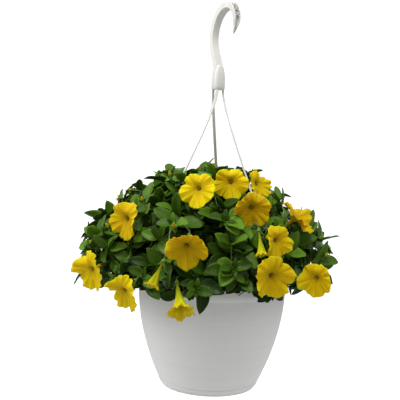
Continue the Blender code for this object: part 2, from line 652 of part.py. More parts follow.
def bloom_mesh(bloom, seed):
    """A funnel with a thin waved limb: outer and inner skins meet at the margin."""
    width = bloom[6] / 1000
    trumpet = bloom[6] < TRUMPET_WIDTH
    foot, out, beside, over = bloom_frame(bloom)
    depth, limb = bloom_depth(width, trumpet), width / 2
    draw = random.Random(seed)
    roll = draw.uniform(0, 2 * math.pi)
    waves = [draw.uniform(-MARGIN_WAVE, MARGIN_WAVE) for _ in range(MARGIN)]

    def ring(count, radius, rise):
        turns = [roll + 2 * math.pi * k / count for k in range(count)]
        return [foot + out * rise + (beside * math.cos(a) + over * math.sin(a)) * radius for a in turns]

    margin = []
    for k in range(MARGIN):
        notch = k % 4 == 0
        share = MARGIN_SHARES[k % 4] * (1 - NOTCH_FOLD if trumpet and notch else 1)
        a = roll + 2 * math.pi * (k - 2) / MARGIN
        lift = waves[k] - (NOTCH_DROP if notch else 0.0)
        reach = limb * share * (1 + waves[k] / 2)
        margin.append(foot + out * (depth + limb * lift) + (beside * math.cos(a) + over * math.sin(a)) * reach)
    neck_radius = limb * TRUMPET_NECK_SHARE if trumpet else BLOOM_NECK_RADIUS
    bowl_radius = limb * (TRUMPET_BOWL_SHARE if trumpet else BLOOM_BOWL_SHARE)
    base = ring(5, TUBE_FOOT_RADIUS, GAP)
    neck = ring(5, neck_radius, depth * TUBE_NECK)
    bowl_rise = depth * (TRUMPET_BOWL_DEPTH if trumpet else BLOOM_BOWL_DEPTH)
    bowl = ring(10, bowl_radius, bowl_rise)
    inner_bowl = ring(10, bowl_radius - PETAL_SKIN, bowl_rise + PETAL_LIFT)
    inner_neck = ring(5, neck_radius - NECK_SKIN, depth * (TUBE_NECK + NECK_LIFT))
    deep = foot + out * depth * (TRUMPET_THROAT if trumpet else BLOOM_THROAT)
    points = base + neck + bowl + margin + inner_bowl + inner_neck + [deep]
    at = {"base": 0, "neck": 5, "bowl": 10, "margin": 20, "inner_bowl": 40, "inner_neck": 50, "deep": 55}
    faces = [(4, 3, 2, 1, 0)]
    for k in range(5):
        after = (k + 1) % 5
        faces += [(at["base"] + k, at["base"] + after, at["neck"] + after)]
        faces += [(at["base"] + k, at["neck"] + after, at["neck"] + k)]
        faces += [(at["inner_neck"] + after, at["inner_neck"] + k, at["deep"])]
        for neck_start, bowl_start in ((at["neck"], at["bowl"]), (at["inner_neck"], at["inner_bowl"])):
            one, two, three = bowl_start + 2 * k, bowl_start + 2 * k + 1, bowl_start + (2 * k + 2) % 10
            faces += [(neck_start + k, two, one), (neck_start + k, neck_start + after, two)]
            faces += [(neck_start + after, three, two)]
    for k in range(10):
        # margin point 2k + 2 lies on the same line as bowl point k
        edge = [at["margin"] + (2 * k + 2 + step) % MARGIN for step in range(3)]
        for bowl_start in (at["bowl"], at["inner_bowl"]):
            here, after = bowl_start + k, bowl_start + (k + 1) % 10
            faces += [(here, edge[1], edge[0]), (here, after, edge[1]), (after, edge[2], edge[1])]
    return points, faces


# ---- shoots ---------------------------------------------------------------------------------------
def stem_point(shoot, share):
    """A point along a shoot, from the soil (0) to its tip (1)."""
    azimuth, radius, height, root = SHOOTS[shoot]
    foot = place(azimuth, root / 1000, SOIL_TOP)
    tip = place(azimuth, radius / 1000, height / 1000)
    out = facing(azimuth, 0)
    up = Vector((0.0, 0.0, 1.0))
    run, rise = (radius - root) / 1000, tip.z - foot.z
    rising = foot + up * (0.45 * rise + 0.045)
    arching = tip - out * (0.35 * run) + up * (0.20 * run - 0.10 * rise)
    return bezier(foot, rising, arching, tip, share)


def stem_mesh(shoot):
    """A tapering stem that stands in its hole in the compost."""
    path = [stem_point(shoot, i / STEM_STEPS) for i in range(STEM_STEPS + 1)]
    path = [path[0] - Vector((0.0, 0.0, ROOT_HOLE_DEPTH - 0.001))] + path
    radii = [STEM_FOOT_RADIUS + (STEM_TIP_RADIUS - STEM_FOOT_RADIUS) * i / len(path) for i in range(len(path))]
    return lofted(tube_rings(path, radii, 4))


def stalk_strain(bloom, start):
    """How hard a stalk would have to bend from this place on its shoot, or be too short or long."""
    foot, out = bloom_frame(bloom)[:2]
    root = stem_point(bloom[0], start)
    span = foot - out * CUP_DEPTH - root
    ahead = (stem_point(bloom[0], start + 0.02) - root).normalized()
    way = span.normalized()
    return (1 - way.dot(out)) + 0.5 * (1 - way.dot(ahead)) + abs(span.length - STALK_LENGTH) / STALK_LENGTH


def stalk_mesh(bloom, start, spare=0.0):
    """A flower stalk from its shoot to a cup with five spread sepals, in which the bloom stands."""
    foot, out, beside, over = bloom_frame(bloom)
    root = stem_point(bloom[0], start)
    ahead = (stem_point(bloom[0], start + 0.02) - root).normalized()
    end = foot - out * CUP_DEPTH
    span = (end - root).length
    leave = (ahead + (root - DOME_CENTRE).normalized() * 0.6).normalized()
    bands = 2 if leave.dot(out) > STALK_BEND else 4
    low = 0.2 if spare else 0.0
    shares = [1.0 - (1.0 - low) * i / bands for i in range(bands + 1)]
    pull = span * STALK_PULL
    path = [bezier(root, root + leave * pull, end - out * pull, end, s) for s in shares]
    rings = tube_rings(path, [STALK_RADIUS + spare] * len(path), 5, beside)
    turns = [2 * math.pi * k / 5 for k in range(5)]
    spread = [beside * math.cos(a) + over * math.sin(a) for a in turns]
    between = [beside * math.cos(a + math.pi / 5) + over * math.sin(a + math.pi / 5) for a in turns]
    rings[0] = [end + s * (STALK_RADIUS + spare) for s in spread]
    rings.reverse()
    points = [point for ring in rings for point in ring]
    last = len(points) - 5
    points += [foot - out * CUP_SHOULDER + s * (CUP_RADIUS + spare) for s in spread]
    star = len(points)
    for s, b in zip(spread, between):
        points += [foot + out * SEPAL_RISE + s * SEPAL_SPREAD, foot + out * NOTCH_RISE + b * CUP_RADIUS]
    floor = len(points)
    points += [foot + s * CUP_FLOOR_RADIUS for s in spread]
    faces = lofted(rings)[1][:-1]
    cup = last + 5
    for k in range(5):
        after = (k + 1) % 5
        faces.append((last + k, last + after, cup + after, cup + k))
        tip, notch, next_tip = star + 2 * k, star + 2 * k + 1, star + 2 * after
        faces += [(cup + k, notch, tip), (cup + k, cup + after, notch), (cup + after, next_tip, notch)]
        faces += [(floor + k, tip, notch), (floor + k, notch, floor + after), (floor + after, notch, next_tip)]
    faces.append(tuple(floor + k for k in range(5)))
    return points, faces


# ---- growing: every blade is turned until it clears what has grown before it ----------------------
def ball_of(points):
    """Centre and radius of a ball round the points."""
    centre = sum(points, Vector()) / len(points)
    return centre, max((point - centre).length for point in points)


def claim(taken, mesh, owner):
    """Records the room that a piece takes up."""
    points, faces = mesh
    centre, radius = ball_of(points)
    taken.append((centre, radius, BVHTree.FromPolygons(points, faces), owner))


def is_free(taken, mesh, owners=()):
    """True if a mesh meets nothing that is recorded, apart from what its owners made."""
    points, faces = mesh
    centre, radius = ball_of(points)
    tree = None
    for other_centre, other_radius, other_tree, owner in taken:
        if owner in owners or (centre - other_centre).length > radius + other_radius:
            continue
        tree = tree or BVHTree.FromPolygons(points, faces)
        if tree.overlap(other_tree):
            return False
    return True


def rim_guard():
    """A ring round the pot's rim that leaves keep out of."""
    inside, outside = WALL_TOP_RADIUS - GUARD_IN, RIM_RADIUS + GUARD_OUT
    low, high = GUARD_BOTTOM, POT_HEIGHT + GUARD_OVER
    corners = ((inside, low), (outside, low), (outside, high), (inside, high))
    turns = [360.0 * k / GUARD_SIDES for k in range(GUARD_SIDES)]
    rings = [[place(turn, radius, height) for radius, height in corners] for turn in turns]
    return lofted(rings + [rings[0]])


def grow():
    """Settles where every stalk and leaf goes: {shoot: stalks and leaves}."""
    taken = []
    claim(taken, rim_guard(), "pot")
    for azimuth in ARM_AZIMUTHS:
        path = arm_path(azimuth)
        for near, far in zip(path, path[1:]):
            claim(taken, lofted(tube_rings([near, far], [ARM_GUARD_RADIUS] * 2, 6)), "hanger")
    for number, (name, bloom) in enumerate({**BLOOMS, **TRUMPETS}.items()):
        claim(taken, bloom_mesh(bloom, number), name)
    for shoot in SHOOTS:
        claim(taken, stem_mesh(shoot), shoot)
    grown = {shoot: {"stalks": [], "leaves": []} for shoot in SHOOTS}
    for name, bloom in {**BLOOMS, **TRUMPETS}.items():
        shoot = bloom[0]
        free = [s for s in STALK_STARTS if is_free(taken, stalk_mesh(bloom, s, STALK_AIR), (name, shoot))]
        start = min(free or STALK_STARTS, key=lambda s: stalk_strain(bloom, s))
        grown[shoot]["stalks"].append((name, start))
        claim(taken, stalk_mesh(bloom, start), shoot + "_stalk")
    for order in range(len(LEAF_PLACES)):
        for number, shoot in enumerate(SHOOTS):
            leaf = grow_leaf(shoot, order, random.Random(1000 * number + order), taken)
            if leaf:
                grown[shoot]["leaves"].append(leaf)
                claim(taken, leaf_mesh(leaf), shoot + "_leaf")
    return grown


def grow_leaf(shoot, order, draw, taken):
    """One leaf of a shoot, counted back from its tip, or None where no way of standing is free."""
    span = sum((stem_point(shoot, (i + 1) / 8) - stem_point(shoot, i / 8)).length for i in range(8))
    back = LEAF_PLACES[order]
    share = STEM_TIP - back / span
    side = 1 if order % 2 else -1
    swing = draw.uniform(-LEAF_SWING, LEAF_SWING)
    length = LEAF_LENGTH * draw.uniform(*LEAF_SPREAD) * (YOUNG_LEAF if order < 2 else 1.0)
    arch = draw.uniform(*LEAF_ARCH)
    if share < STEM_BARE or (order > 5 and SHOOTS[shoot][2] / 1000 < LOW_SHOOT):
        return None
    base = stem_point(shoot, share)
    along = (stem_point(shoot, share + 0.02) - stem_point(shoot, share - 0.02)).normalized()
    out = ((base - DOME_CENTRE).normalized() + Vector((0.0, 0.0, 0.25))).normalized()
    over = (out - along * out.dot(along)).normalized()
    beside = along.cross(over)
    for shrink in LEAF_SHRINKS:
        for turn in LEAF_TURNS:
            for lean in LEAF_LEANS:
                spin = math.radians(side * turn + swing)
                tilt = math.radians(lean)
                way = over * math.cos(spin) + beside * math.sin(spin)
                way = (along * math.cos(tilt) + way * math.sin(tilt)).normalized()
                face = (out - way * out.dot(way)).normalized()
                leaf = (base, way, face, length * shrink, arch)
                if lowest_ok(leaf) and is_free(taken, leaf_mesh(leaf, LEAF_AIR)):
                    return leaf
    return None


def lowest_ok(leaf):
    """A leaf over the pot stays above the compost, and one outside it hangs no lower than the skirt."""
    for point in leaf_mesh(leaf)[0]:
        inside = math.hypot(point.x, point.y) < RIM_RADIUS
        floor = SOIL_TOP + LEAF_OVER_SOIL if inside else POT_HEIGHT - LEAF_UNDER_RIM
        if point.z < floor:
            return False
    return True


# ---- assembly -------------------------------------------------------------------------------------
def main():
    clear_scene()
    plastic = finish_material("white_plastic", (0.82, 0.82, 0.80), 0.38)
    compost = finish_material("compost", (0.035, 0.024, 0.016), 0.95)
    green = finish_material("leaf_green", (0.055, 0.160, 0.022), 0.50)
    yellow = finish_material("petal_yellow", (0.760, 0.430, 0.004), 0.60)
    lemon = finish_material("half_open_lemon", (0.560, 0.560, 0.020), 0.60)

    hang_point = bpy.data.objects.new("hang_point", None)
    bpy.context.scene.collection.objects.link(hang_point)
    hang_point.location = -facing(HOOK_AZIMUTH, 0) * SEAT_OFFSET - Vector((0.0, 0.0, SEAT_HEIGHT))

    pieces = [make_pot(plastic)]
    roots = [stem_point(shoot, 0.0) for shoot in SHOOTS]
    pieces += [make_soil(compost, roots), make_hanger(plastic)]
    for number, (name, bloom) in enumerate({**BLOOMS, **TRUMPETS}.items()):
        pieces.append(solid(name, *bloom_mesh(bloom, number), yellow if name in BLOOMS else lemon))
    for shoot, grown in grow().items():
        stem = solid("shoot_" + shoot, *stem_mesh(shoot), green)
        parts = [solid("leaf", *leaf_mesh(leaf)) for leaf in grown["leaves"]]
        for name, start in grown["stalks"]:
            parts.append(solid("stalk", *stalk_mesh({**BLOOMS, **TRUMPETS}[name], start)))
        fuse(stem, parts)
        pieces.append(stem)
    for piece in pieces:
        piece.parent = hang_point


main()
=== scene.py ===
"""The petunia basket, dressed for show: pot, compost, hanger, leafy shoots, blooms and the studio.

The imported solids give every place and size, and each piece here stands for one or more of them. Azimuths
run round the pot's axis: 0 is the front (-Y), 90 the right (+X). Heights count up from the pot's foot.
"""

import math
import random

import bmesh
import bpy
from mathutils import Matrix, Vector
from mathutils.bvhtree import BVHTree


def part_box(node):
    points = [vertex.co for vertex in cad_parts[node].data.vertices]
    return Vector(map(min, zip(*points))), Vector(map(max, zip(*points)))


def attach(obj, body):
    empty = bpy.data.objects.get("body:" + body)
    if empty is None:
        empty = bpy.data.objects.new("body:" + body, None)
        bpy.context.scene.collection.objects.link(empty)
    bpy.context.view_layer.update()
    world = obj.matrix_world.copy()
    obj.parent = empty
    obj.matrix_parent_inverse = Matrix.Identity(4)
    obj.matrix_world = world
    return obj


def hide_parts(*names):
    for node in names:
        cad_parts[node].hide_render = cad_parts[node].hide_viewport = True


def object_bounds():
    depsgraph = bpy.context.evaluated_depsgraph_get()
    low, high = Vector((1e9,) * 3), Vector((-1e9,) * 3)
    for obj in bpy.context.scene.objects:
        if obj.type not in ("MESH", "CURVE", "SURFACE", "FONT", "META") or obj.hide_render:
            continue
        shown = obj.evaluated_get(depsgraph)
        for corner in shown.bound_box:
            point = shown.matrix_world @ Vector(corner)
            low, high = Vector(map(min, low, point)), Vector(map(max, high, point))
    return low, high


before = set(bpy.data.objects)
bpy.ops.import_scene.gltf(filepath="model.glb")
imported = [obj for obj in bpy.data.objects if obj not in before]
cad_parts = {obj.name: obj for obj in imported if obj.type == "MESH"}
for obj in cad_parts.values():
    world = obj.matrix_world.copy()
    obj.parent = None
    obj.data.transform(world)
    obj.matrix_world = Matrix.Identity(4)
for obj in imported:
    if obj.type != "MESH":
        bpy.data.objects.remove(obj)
solids_low, solids_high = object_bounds()

# ---- the pot --------------------------------------------------------------------------------------
# One moulding of white polypropylene with a bell-shaped wall. Its rim is turned down into a skirt, with a
# slot for each clip of the hanger, and it stands on a low ring with six drain holes inside it.
pot_low, pot_high = (Vector(corner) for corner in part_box("pot"))
pot_foot = Vector(((pot_low.x + pot_high.x) / 2, (pot_low.y + pot_high.y) / 2, pot_low.z))
pot_height = pot_high.z - pot_low.z
rim_radius = 0.1373  # outside of the skirt
rim_depth = 0.020
skirt_thickness = 0.0015
lip_thickness = 0.0023
lip_round = 0.0024  # the bend from the lip down into the skirt
wall_top_radius = 0.1325
wall_foot_radius = 0.0885
wall_foot_height = 0.0055
wall_thickness = 0.0018
wall_belly = 1.9  # 1 is a plain cone, more swells the wall outwards
wall_start = 0.0145  # the plain wall runs up from here, over a fine groove
wall_steps = 56
wall_waver = 0.00006  # moulded walls are never quite true
groove_bottom, groove_top, groove_slope, groove_depth = 0.0118, 0.0138, 0.0005, 0.0007
foot_radius = 0.0855
foot_width = 0.0045
floor_height = 0.003
slot_size = (0.0020, 0.0080, 0.008)  # through the rim, along it, and the height of the cut
drain_holes, drain_circle, drain_radius, drain_cut = 6, 0.058, 0.0045, (-0.002, 0.012)
arm_azimuths = (54.0, -66.0, 174.0)
arm_circle = 0.1342  # the clips stand on this radius


def place(azimuth, radius, height):
    """A point round the pot's axis."""
    turn = math.radians(azimuth)
    return Vector((radius * math.sin(turn), -radius * math.cos(turn), height))


def facing(yaw, pitch):
    """The unit direction that looks out at an azimuth and up by a pitch, in degrees."""
    level = math.cos(math.radians(pitch))
    return place(yaw, level, math.sin(math.radians(pitch)))


class Bunch:
    """The points and faces gathered for one piece, with each face's finish and each point's markings."""

    def __init__(self):
        self.points = []
        self.faces = []
        self.finishes = []
        self.markings = []

    def add(self, points, faces, finish=0, markings=None):
        """Takes in a body: its points, its faces, the number of its finish, and markings for its points."""
        start = len(self.points)
        self.points += points
        self.faces += [tuple(start + corner for corner in face) for face in faces]
        self.finishes += [finish] * len(faces)
        self.markings += markings or [(0.0, 0.0, 0.5)] * len(points)

    def make(self, name, finishes, sharp=None):
        """Makes the piece, in its place in the basket, and lets it ride on the one body."""
        mesh = bpy.data.meshes.new(name)
        mesh.from_pydata([tuple(pot_foot + point) for point in self.points], [], self.faces)
        mesh.polygons.foreach_set("material_index", self.finishes)
        markings = mesh.attributes.new("markings", "FLOAT_VECTOR", "POINT")
        markings.data.foreach_set("vector", [value for marking in self.markings for value in marking])
        for finish in finishes:
            mesh.materials.append(finish)
        shell = bmesh.new()
        shell.from_mesh(mesh)
        bmesh.ops.recalc_face_normals(shell, faces=shell.faces)
        shell.to_mesh(mesh)
        shell.free()
        mesh.shade_smooth()
        if sharp:
            mesh.set_sharp_from_angle(angle=math.radians(sharp))
        item = bpy.data.objects.new(name, mesh)
        bpy.context.scene.collection.objects.link(item)
        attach(item, "root")
        return item


def rings_to_faces(count, sides, capped=True):
    """Faces of a skin over rings of equally many points, capped at both ends."""
    faces = []
    for r in range(count - 1):
        for k in range(sides):
            after = (k + 1) % sides
            faces.append((r * sides + k, r * sides + after, (r + 1) * sides + after, (r + 1) * sides + k))
    if capped:
        last = (count - 1) * sides
        faces.append(tuple(range(sides - 1, -1, -1)))
        faces.append(tuple(last + k for k in range(sides)))
    return faces


def rings_round(profile, sides):
    """Rings round the pot's axis, one for each radius and height of a profile."""
    return [[place(360 * k / sides, radius, height) for k in range(sides)] for radius, height in profile]


def turned(profile, sides):
    """Points and faces of a solid of revolution, from a profile that runs from axis to axis."""
    rings = rings_round(profile[1:-1], sides)
    points = [point for ring in rings for point in ring]
    faces = rings_to_faces(len(rings), sides, capped=False)
    low, high = len(points), len(points) + 1
    points += [Vector((0.0, 0.0, profile[0][1])), Vector((0.0, 0.0, profile[-1][1]))]
    last = (len(rings) - 1) * sides
    for k in range(sides):
        after = (k + 1) % sides
        faces += [(k, low, after), (last + k, last + after, high)]
    return points, [face[::-1] for face in faces]


def wall_radius(height):
    """Outside radius of the pot's wall, which swells upwards like a bell."""
    skirt_bottom = pot_height - rim_depth
    share = min(max((height - wall_foot_height) / (skirt_bottom - wall_foot_height), 0.0), 1.0)
    return wall_foot_radius + (wall_top_radius - wall_foot_radius) * (1 - (1 - share) ** wall_belly)


def pot_profile():
    """The pot's section: under the floor, over the foot, up the wall, round the rim and down inside."""
    skirt_bottom = pot_height - rim_depth
    skirt_inside = rim_radius - skirt_thickness
    wall_inside = wall_top_radius - wall_thickness
    foot_inside = foot_radius - foot_width
    draw = random.Random(7)
    section = [(0.0, floor_height), (foot_inside - 0.0012, floor_height), (foot_inside - 0.0004, 0.0004)]
    section += [(foot_inside + 0.0004, 0.0), (foot_radius - 0.0006, 0.0), (foot_radius, 0.0007)]
    section += [(foot_radius, 0.0034), (foot_radius + 0.0010, 0.0042), (wall_foot_radius - 0.0002, 0.0048)]
    section += [(wall_foot_radius + 0.0006, 0.0058), (wall_foot_radius + 0.0011, 0.0074)]
    section += [(wall_radius(0.0092) + 0.0002, 0.0086), (wall_radius(0.0100), 0.0100)]
    section.append((wall_radius(groove_bottom), groove_bottom))
    for height in (groove_bottom + groove_slope, groove_top - groove_slope):
        section.append((wall_radius(height) - groove_depth, height))
    section.append((wall_radius(groove_top), groove_top))
    for i in range(1, wall_steps + 1):
        height = wall_start + (skirt_bottom - wall_start) * i / wall_steps
        section.append((wall_radius(height) + draw.uniform(-wall_waver, wall_waver), height))
    under_lip = pot_height - lip_thickness
    section += [(wall_top_radius, under_lip - 0.0006), (wall_top_radius + 0.0006, under_lip)]
    section += [(skirt_inside - 0.0006, under_lip), (skirt_inside, under_lip - 0.0006)]
    section += [(skirt_inside, skirt_bottom + 0.0002), (skirt_inside + 0.0003, skirt_bottom)]
    section += [(rim_radius - 0.0003, skirt_bottom), (rim_radius, skirt_bottom + 0.0003)]
    section += [(rim_radius - 0.0002, pot_height - 0.0100), (rim_radius - 0.0001, pot_height - 0.0028)]
    for i in range(1, 6):
        bend = math.radians(90 * i / 5)
        reach = rim_radius - 0.0025 + lip_round * math.cos(bend)
        section.append((reach, pot_height - lip_round * (1 - math.sin(bend))))
    section += [(wall_inside + 0.0012, pot_height), (wall_inside + 0.0004, pot_height - 0.0003)]
    section += [(wall_inside, pot_height - 0.0011)]
    for height in (0.170, 0.140, 0.110, 0.080, 0.050):
        section.append((wall_radius(height) - wall_thickness, height))
    section += [(wall_radius(0.02) - wall_thickness, 0.020), (foot_radius - 0.001, floor_height + 0.0045)]
    section += [(foot_radius - 0.004, floor_height + wall_thickness), (0.0, floor_height + wall_thickness)]
    return section


def box_body(centre, size, azimuth):
    """Points and faces of a box turned to an azimuth: size is radial, sideways, upright."""
    out, side, up = facing(azimuth, 0), facing(azimuth + 90, 0), Vector((0.0, 0.0, 1.0))
    corners = ((-0.5, -0.5), (0.5, -0.5), (0.5, 0.5), (-0.5, 0.5))
    points = []
    for k in (-0.5, 0.5):
        points += [centre + out * size[0] * i + side * size[1] * j + up * size[2] * k for i, j in corners]
    return points, rings_to_faces(2, 4)


def cut_out(item, hollows):
    """Cuts the bodies in a bunch out of a piece."""
    tool = hollows.make("hollows", [])
    difference = item.modifiers.new("cut", "BOOLEAN")
    difference.operation = "DIFFERENCE"
    difference.solver = "EXACT"
    difference.object = tool
    bpy.context.view_layer.objects.active = item
    bpy.ops.object.modifier_apply(modifier=difference.name)
    bpy.data.objects.remove(tool)


def add_node(tree, kind, values=None, **settings):
    """Adds a node to a tree, with its settings, and sets or links its inputs."""
    made = tree.nodes.new(kind)
    for key, value in settings.items():
        setattr(made, key, value)
    for key, value in (values or {}).items():
        if isinstance(value, bpy.types.NodeSocket):
            tree.links.new(value, made.inputs[key])
        else:
            made.inputs[key].default_value = value
    return made


def maths(tree, operation, first, second=0.0, third=0.0):
    """The result of a sum between sockets or numbers."""
    return add_node(tree, "ShaderNodeMath", {0: first, 1: second, 2: third}, operation=operation).outputs[0]


def tint(tree, share, low, high, blend_type="MIX"):
    """A colour between two colours, each a socket or a red, a green and a blue."""
    low, high = (c if isinstance(c, bpy.types.NodeSocket) else (*c, 1.0) for c in (low, high))
    colours = {0: share, 6: low, 7: high}
    return add_node(tree, "ShaderNodeMix", colours, data_type="RGBA", blend_type=blend_type).outputs[2]


def add_relief(tree, shader, height, strength, distance):
    """Gives a finish its relief, from a height that changes over the surface."""
    bump = add_node(tree, "ShaderNodeBump", {"Height": height, "Strength": strength, "Distance": distance})
    tree.links.new(bump.outputs[0], shader.inputs["Normal"])


def new_group(name, inputs, outputs):
    """An effect that several finishes use: its tree, what comes in and what goes out."""
    tree = bpy.data.node_groups.new(name, "ShaderNodeTree")
    for label, kind, value in inputs:
        socket = tree.interface.new_socket(name=label, in_out="INPUT", socket_type=kind)
        if value is not None:
            socket.default_value = value
    for label, kind in outputs:
        tree.interface.new_socket(name=label, in_out="OUTPUT", socket_type=kind)
    return tree, add_node(tree, "NodeGroupInput").outputs, add_node(tree, "NodeGroupOutput").inputs


def new_finish(name, roughness, **constants):
    """A material with its Principled shader. Constants go on the shader's own sockets."""
    material = bpy.data.materials.new(name)
    material.use_nodes = True
    shader = material.node_tree.nodes["Principled BSDF"]
    shader.inputs["Roughness"].default_value = roughness
    for key, value in constants.items():
        shader.inputs[key.replace("_", " ").title().replace("Ior", "IOR")].default_value = value
    return material, material.node_tree, shader


# the faint level bands and the fine grain that a mould leaves in white plastic
grain, grain_in, grain_out = new_group(
    "moulded grain",
    [("Bands", "NodeSocketFloat", 90.0), ("Grain", "NodeSocketFloat", 700.0)],
    [("Tone", "NodeSocketFloat"), ("Height", "NodeSocketFloat")],
)
spot = add_node(grain, "ShaderNodeTexCoord").outputs["Object"]
axes = add_node(grain, "ShaderNodeSeparateXYZ", {0: spot}).outputs
level = add_node(
    grain, "ShaderNodeCombineXYZ",
    {0: maths(grain, "MULTIPLY", axes[0], 6.0), 1: maths(grain, "MULTIPLY", axes[1], 6.0),
     2: maths(grain, "MULTIPLY", axes[2], grain_in["Bands"])},
).outputs[0]
bands = add_node(
    grain, "ShaderNodeTexNoise", {"Vector": level, "Scale": 1.0, "Detail": 4.0, "Roughness": 0.6}
)
specks = add_node(grain, "ShaderNodeTexNoise", {"Vector": spot, "Scale": grain_in["Grain"], "Detail": 2.0})
grain.links.new(bands.outputs["Fac"], grain_out["Tone"])
height = maths(grain, "MULTIPLY_ADD", specks.outputs["Fac"], 0.25, bands.outputs["Fac"])
grain.links.new(height, grain_out["Height"])


def plastic_finish(name, pale, grey, roughness, bands_per_metre, relief):
    """White moulded plastic with its bands and grain."""
    material, tree, shader = new_finish(name, roughness, specular_ior_level=0.45)
    marks = add_node(tree, "ShaderNodeGroup", {}, node_tree=grain)
    marks.inputs["Bands"].default_value = bands_per_metre
    tree.links.new(tint(tree, marks.outputs["Tone"], grey, pale), shader.inputs["Base Color"])
    rough = maths(tree, "MULTIPLY_ADD", marks.outputs["Tone"], 0.12, roughness - 0.06)
    tree.links.new(rough, shader.inputs["Roughness"])
    add_relief(tree, shader, marks.outputs["Height"], 0.35, relief)
    return material


pot_plastic = plastic_finish("pot plastic", (0.80, 0.81, 0.79), (0.73, 0.74, 0.715), 0.36, 260.0, 0.0002)
pot_body = Bunch()
pot_body.add(*turned(pot_profile(), 144))
pot = pot_body.make("hanging_pot", [pot_plastic], sharp=50)
hollows = Bunch()
for azimuth in arm_azimuths:
    hollows.add(*box_body(place(azimuth, arm_circle, pot_height), slot_size, azimuth))
for k in range(drain_holes):
    middle = place(60 * k, drain_circle, 0)
    drain = [middle + place(30 * i, drain_radius, height) for height in drain_cut for i in range(12)]
    hollows.add(drain, rings_to_faces(2, 12))
cut_out(pot, hollows)
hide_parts("pot")

# ---- the compost ----------------------------------------------------------------------------------
# Moist peat with bark and a little white perlite fills the pot to a finger's width under the rim. It is
# poured in loose, so its top is crumbly, and each shoot rises out of it.
soil_top = 0.180
soil_crown = 0.003  # its middle stands this much higher
soil_lump, soil_stir = 0.0016, 0.0008  # how far its crumbs stand up or down, and aside
crumb_count = 900
perlite_share = 0.06


def compost_body(bunch):
    """The filling: a crumbly top over a plain body that follows the pot's inside."""
    draw = random.Random(11)
    clear = wall_thickness + 0.0006
    sides, circles = 96, 40
    edge = wall_radius(soil_top) - clear - 0.0015
    profile = [(foot_radius - 0.005, floor_height + wall_thickness + 0.0004)]
    for height in (0.03, 0.06, 0.09, 0.12, 0.15, soil_top - 0.004):
        profile.append((wall_radius(height) - clear, height))
    rings = rings_round(profile, sides)
    for c in range(circles):
        radius = edge * (1 - c / circles)
        crown = soil_crown * (1 - (radius / edge) ** 2)
        ring = []
        for k in range(sides):
            lump = draw.uniform(-soil_lump, soil_lump) * (0.4 if c == 0 else 1.0)
            reach = radius + draw.uniform(-soil_stir, soil_stir) * min(1.0, radius / 0.02)
            ring.append(place(360 * k / sides, reach, soil_top + crown + lump))
        rings.append(ring)
    bunch.add([point for ring in rings for point in ring], rings_to_faces(len(rings), sides))


def crumb(centre, size, draw):
    """A small clod or chip with six corners."""
    ways = (Vector((1, 0, 0)), Vector((0, 1, 0)), Vector((-1, 0, 0)), Vector((0, -1, 0)))
    turn = Matrix.Rotation(draw.uniform(0, math.pi), 3, "Z")
    turn = turn @ Matrix.Rotation(draw.uniform(-0.6, 0.6), 3, "X")
    points = [centre + turn @ (way * size * draw.uniform(0.7, 1.3)) for way in ways]
    points += [centre + turn @ Vector((0, 0, size * k * draw.uniform(0.4, 0.8))) for k in (1, -1)]
    faces = []
    for k in range(4):
        after = (k + 1) % 4
        faces += [(k, after, 4), (after, k, 5)]
    return points, faces


def compost_finish(name, dark, light, size):
    """Crumbs of two tones with rough relief."""
    material, tree, shader = new_finish(name, 0.93, specular_ior_level=0.25)
    spot = add_node(tree, "ShaderNodeTexCoord").outputs["Object"]
    crumbs = add_node(tree, "ShaderNodeTexVoronoi", {"Vector": spot, "Scale": size})
    dust = add_node(tree, "ShaderNodeTexNoise", {"Vector": spot, "Scale": size / 2, "Detail": 5.0})
    share = maths(tree, "MULTIPLY", crumbs.outputs["Distance"], dust.outputs["Fac"])
    tree.links.new(tint(tree, share, dark, light), shader.inputs["Base Color"])
    add_relief(tree, shader, crumbs.outputs["Distance"], 0.8, 0.001)
    return material


peat = compost_finish("peat", (0.018, 0.012, 0.008), (0.10, 0.070, 0.045), 420.0)
perlite = compost_finish("perlite", (0.45, 0.43, 0.40), (0.70, 0.69, 0.66), 900.0)
compost_bunch = Bunch()
compost_body(compost_bunch)
crumb_draw = random.Random(23)
for _ in range(crumb_count):
    reach = (wall_radius(soil_top) - 0.006) * math.sqrt(crumb_draw.random())
    rise = soil_top + soil_crown * (1 - (reach / 0.13) ** 2) + 0.0006
    white = crumb_draw.random() < perlite_share
    size = crumb_draw.uniform(0.0009, 0.0015) if white else crumb_draw.uniform(0.0009, 0.0028)
    bit = crumb(place(crumb_draw.uniform(0, 360), reach, rise), size, crumb_draw)
    compost_bunch.add(*bit, finish=1 if white else 0)
compost = compost_bunch.make("compost", [peat, perlite], sharp=20)
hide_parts("soil")

# ---- the hanger -----------------------------------------------------------------------------------
# One moulding of the same white plastic. Its hook is a channel, smooth inside the bend and ribbed outside,
# and stands on a knuckle. Three limber arms leave the knuckle and snap into the rim with barbed clips.
seat_height = -pot_low.z  # the basket hangs by the inner top of the hook
seat_offset = 0.015
hook_azimuth = 42.0  # the hook's mouth opens to the front right
hook_back, hook_back_drop = 0.039, 0.057
hook_front, hook_front_drop = 0.0175, 0.027
hook_depth, hook_width, hook_wall = 0.0084, 0.0150, 0.0020
seat_swell = 1.30  # the channel is this much bigger at the seat
tip_share, tip_taper, tip_back, tip_drop = 0.84, 0.70, 0.0062, 0.0225
neck_swell, neck_sink, neck_leave, neck_arrive = 0.22, 0.014, 0.018, 0.024
rib_lean, rib_half, rib_sink = 38.0, 0.0005, 0.0010
boss_bottom, boss_top, boss_radius, boss_offset = 0.532, 0.576, 0.0112, -0.0082
boss_lobe, boss_sides = 0.10, 36
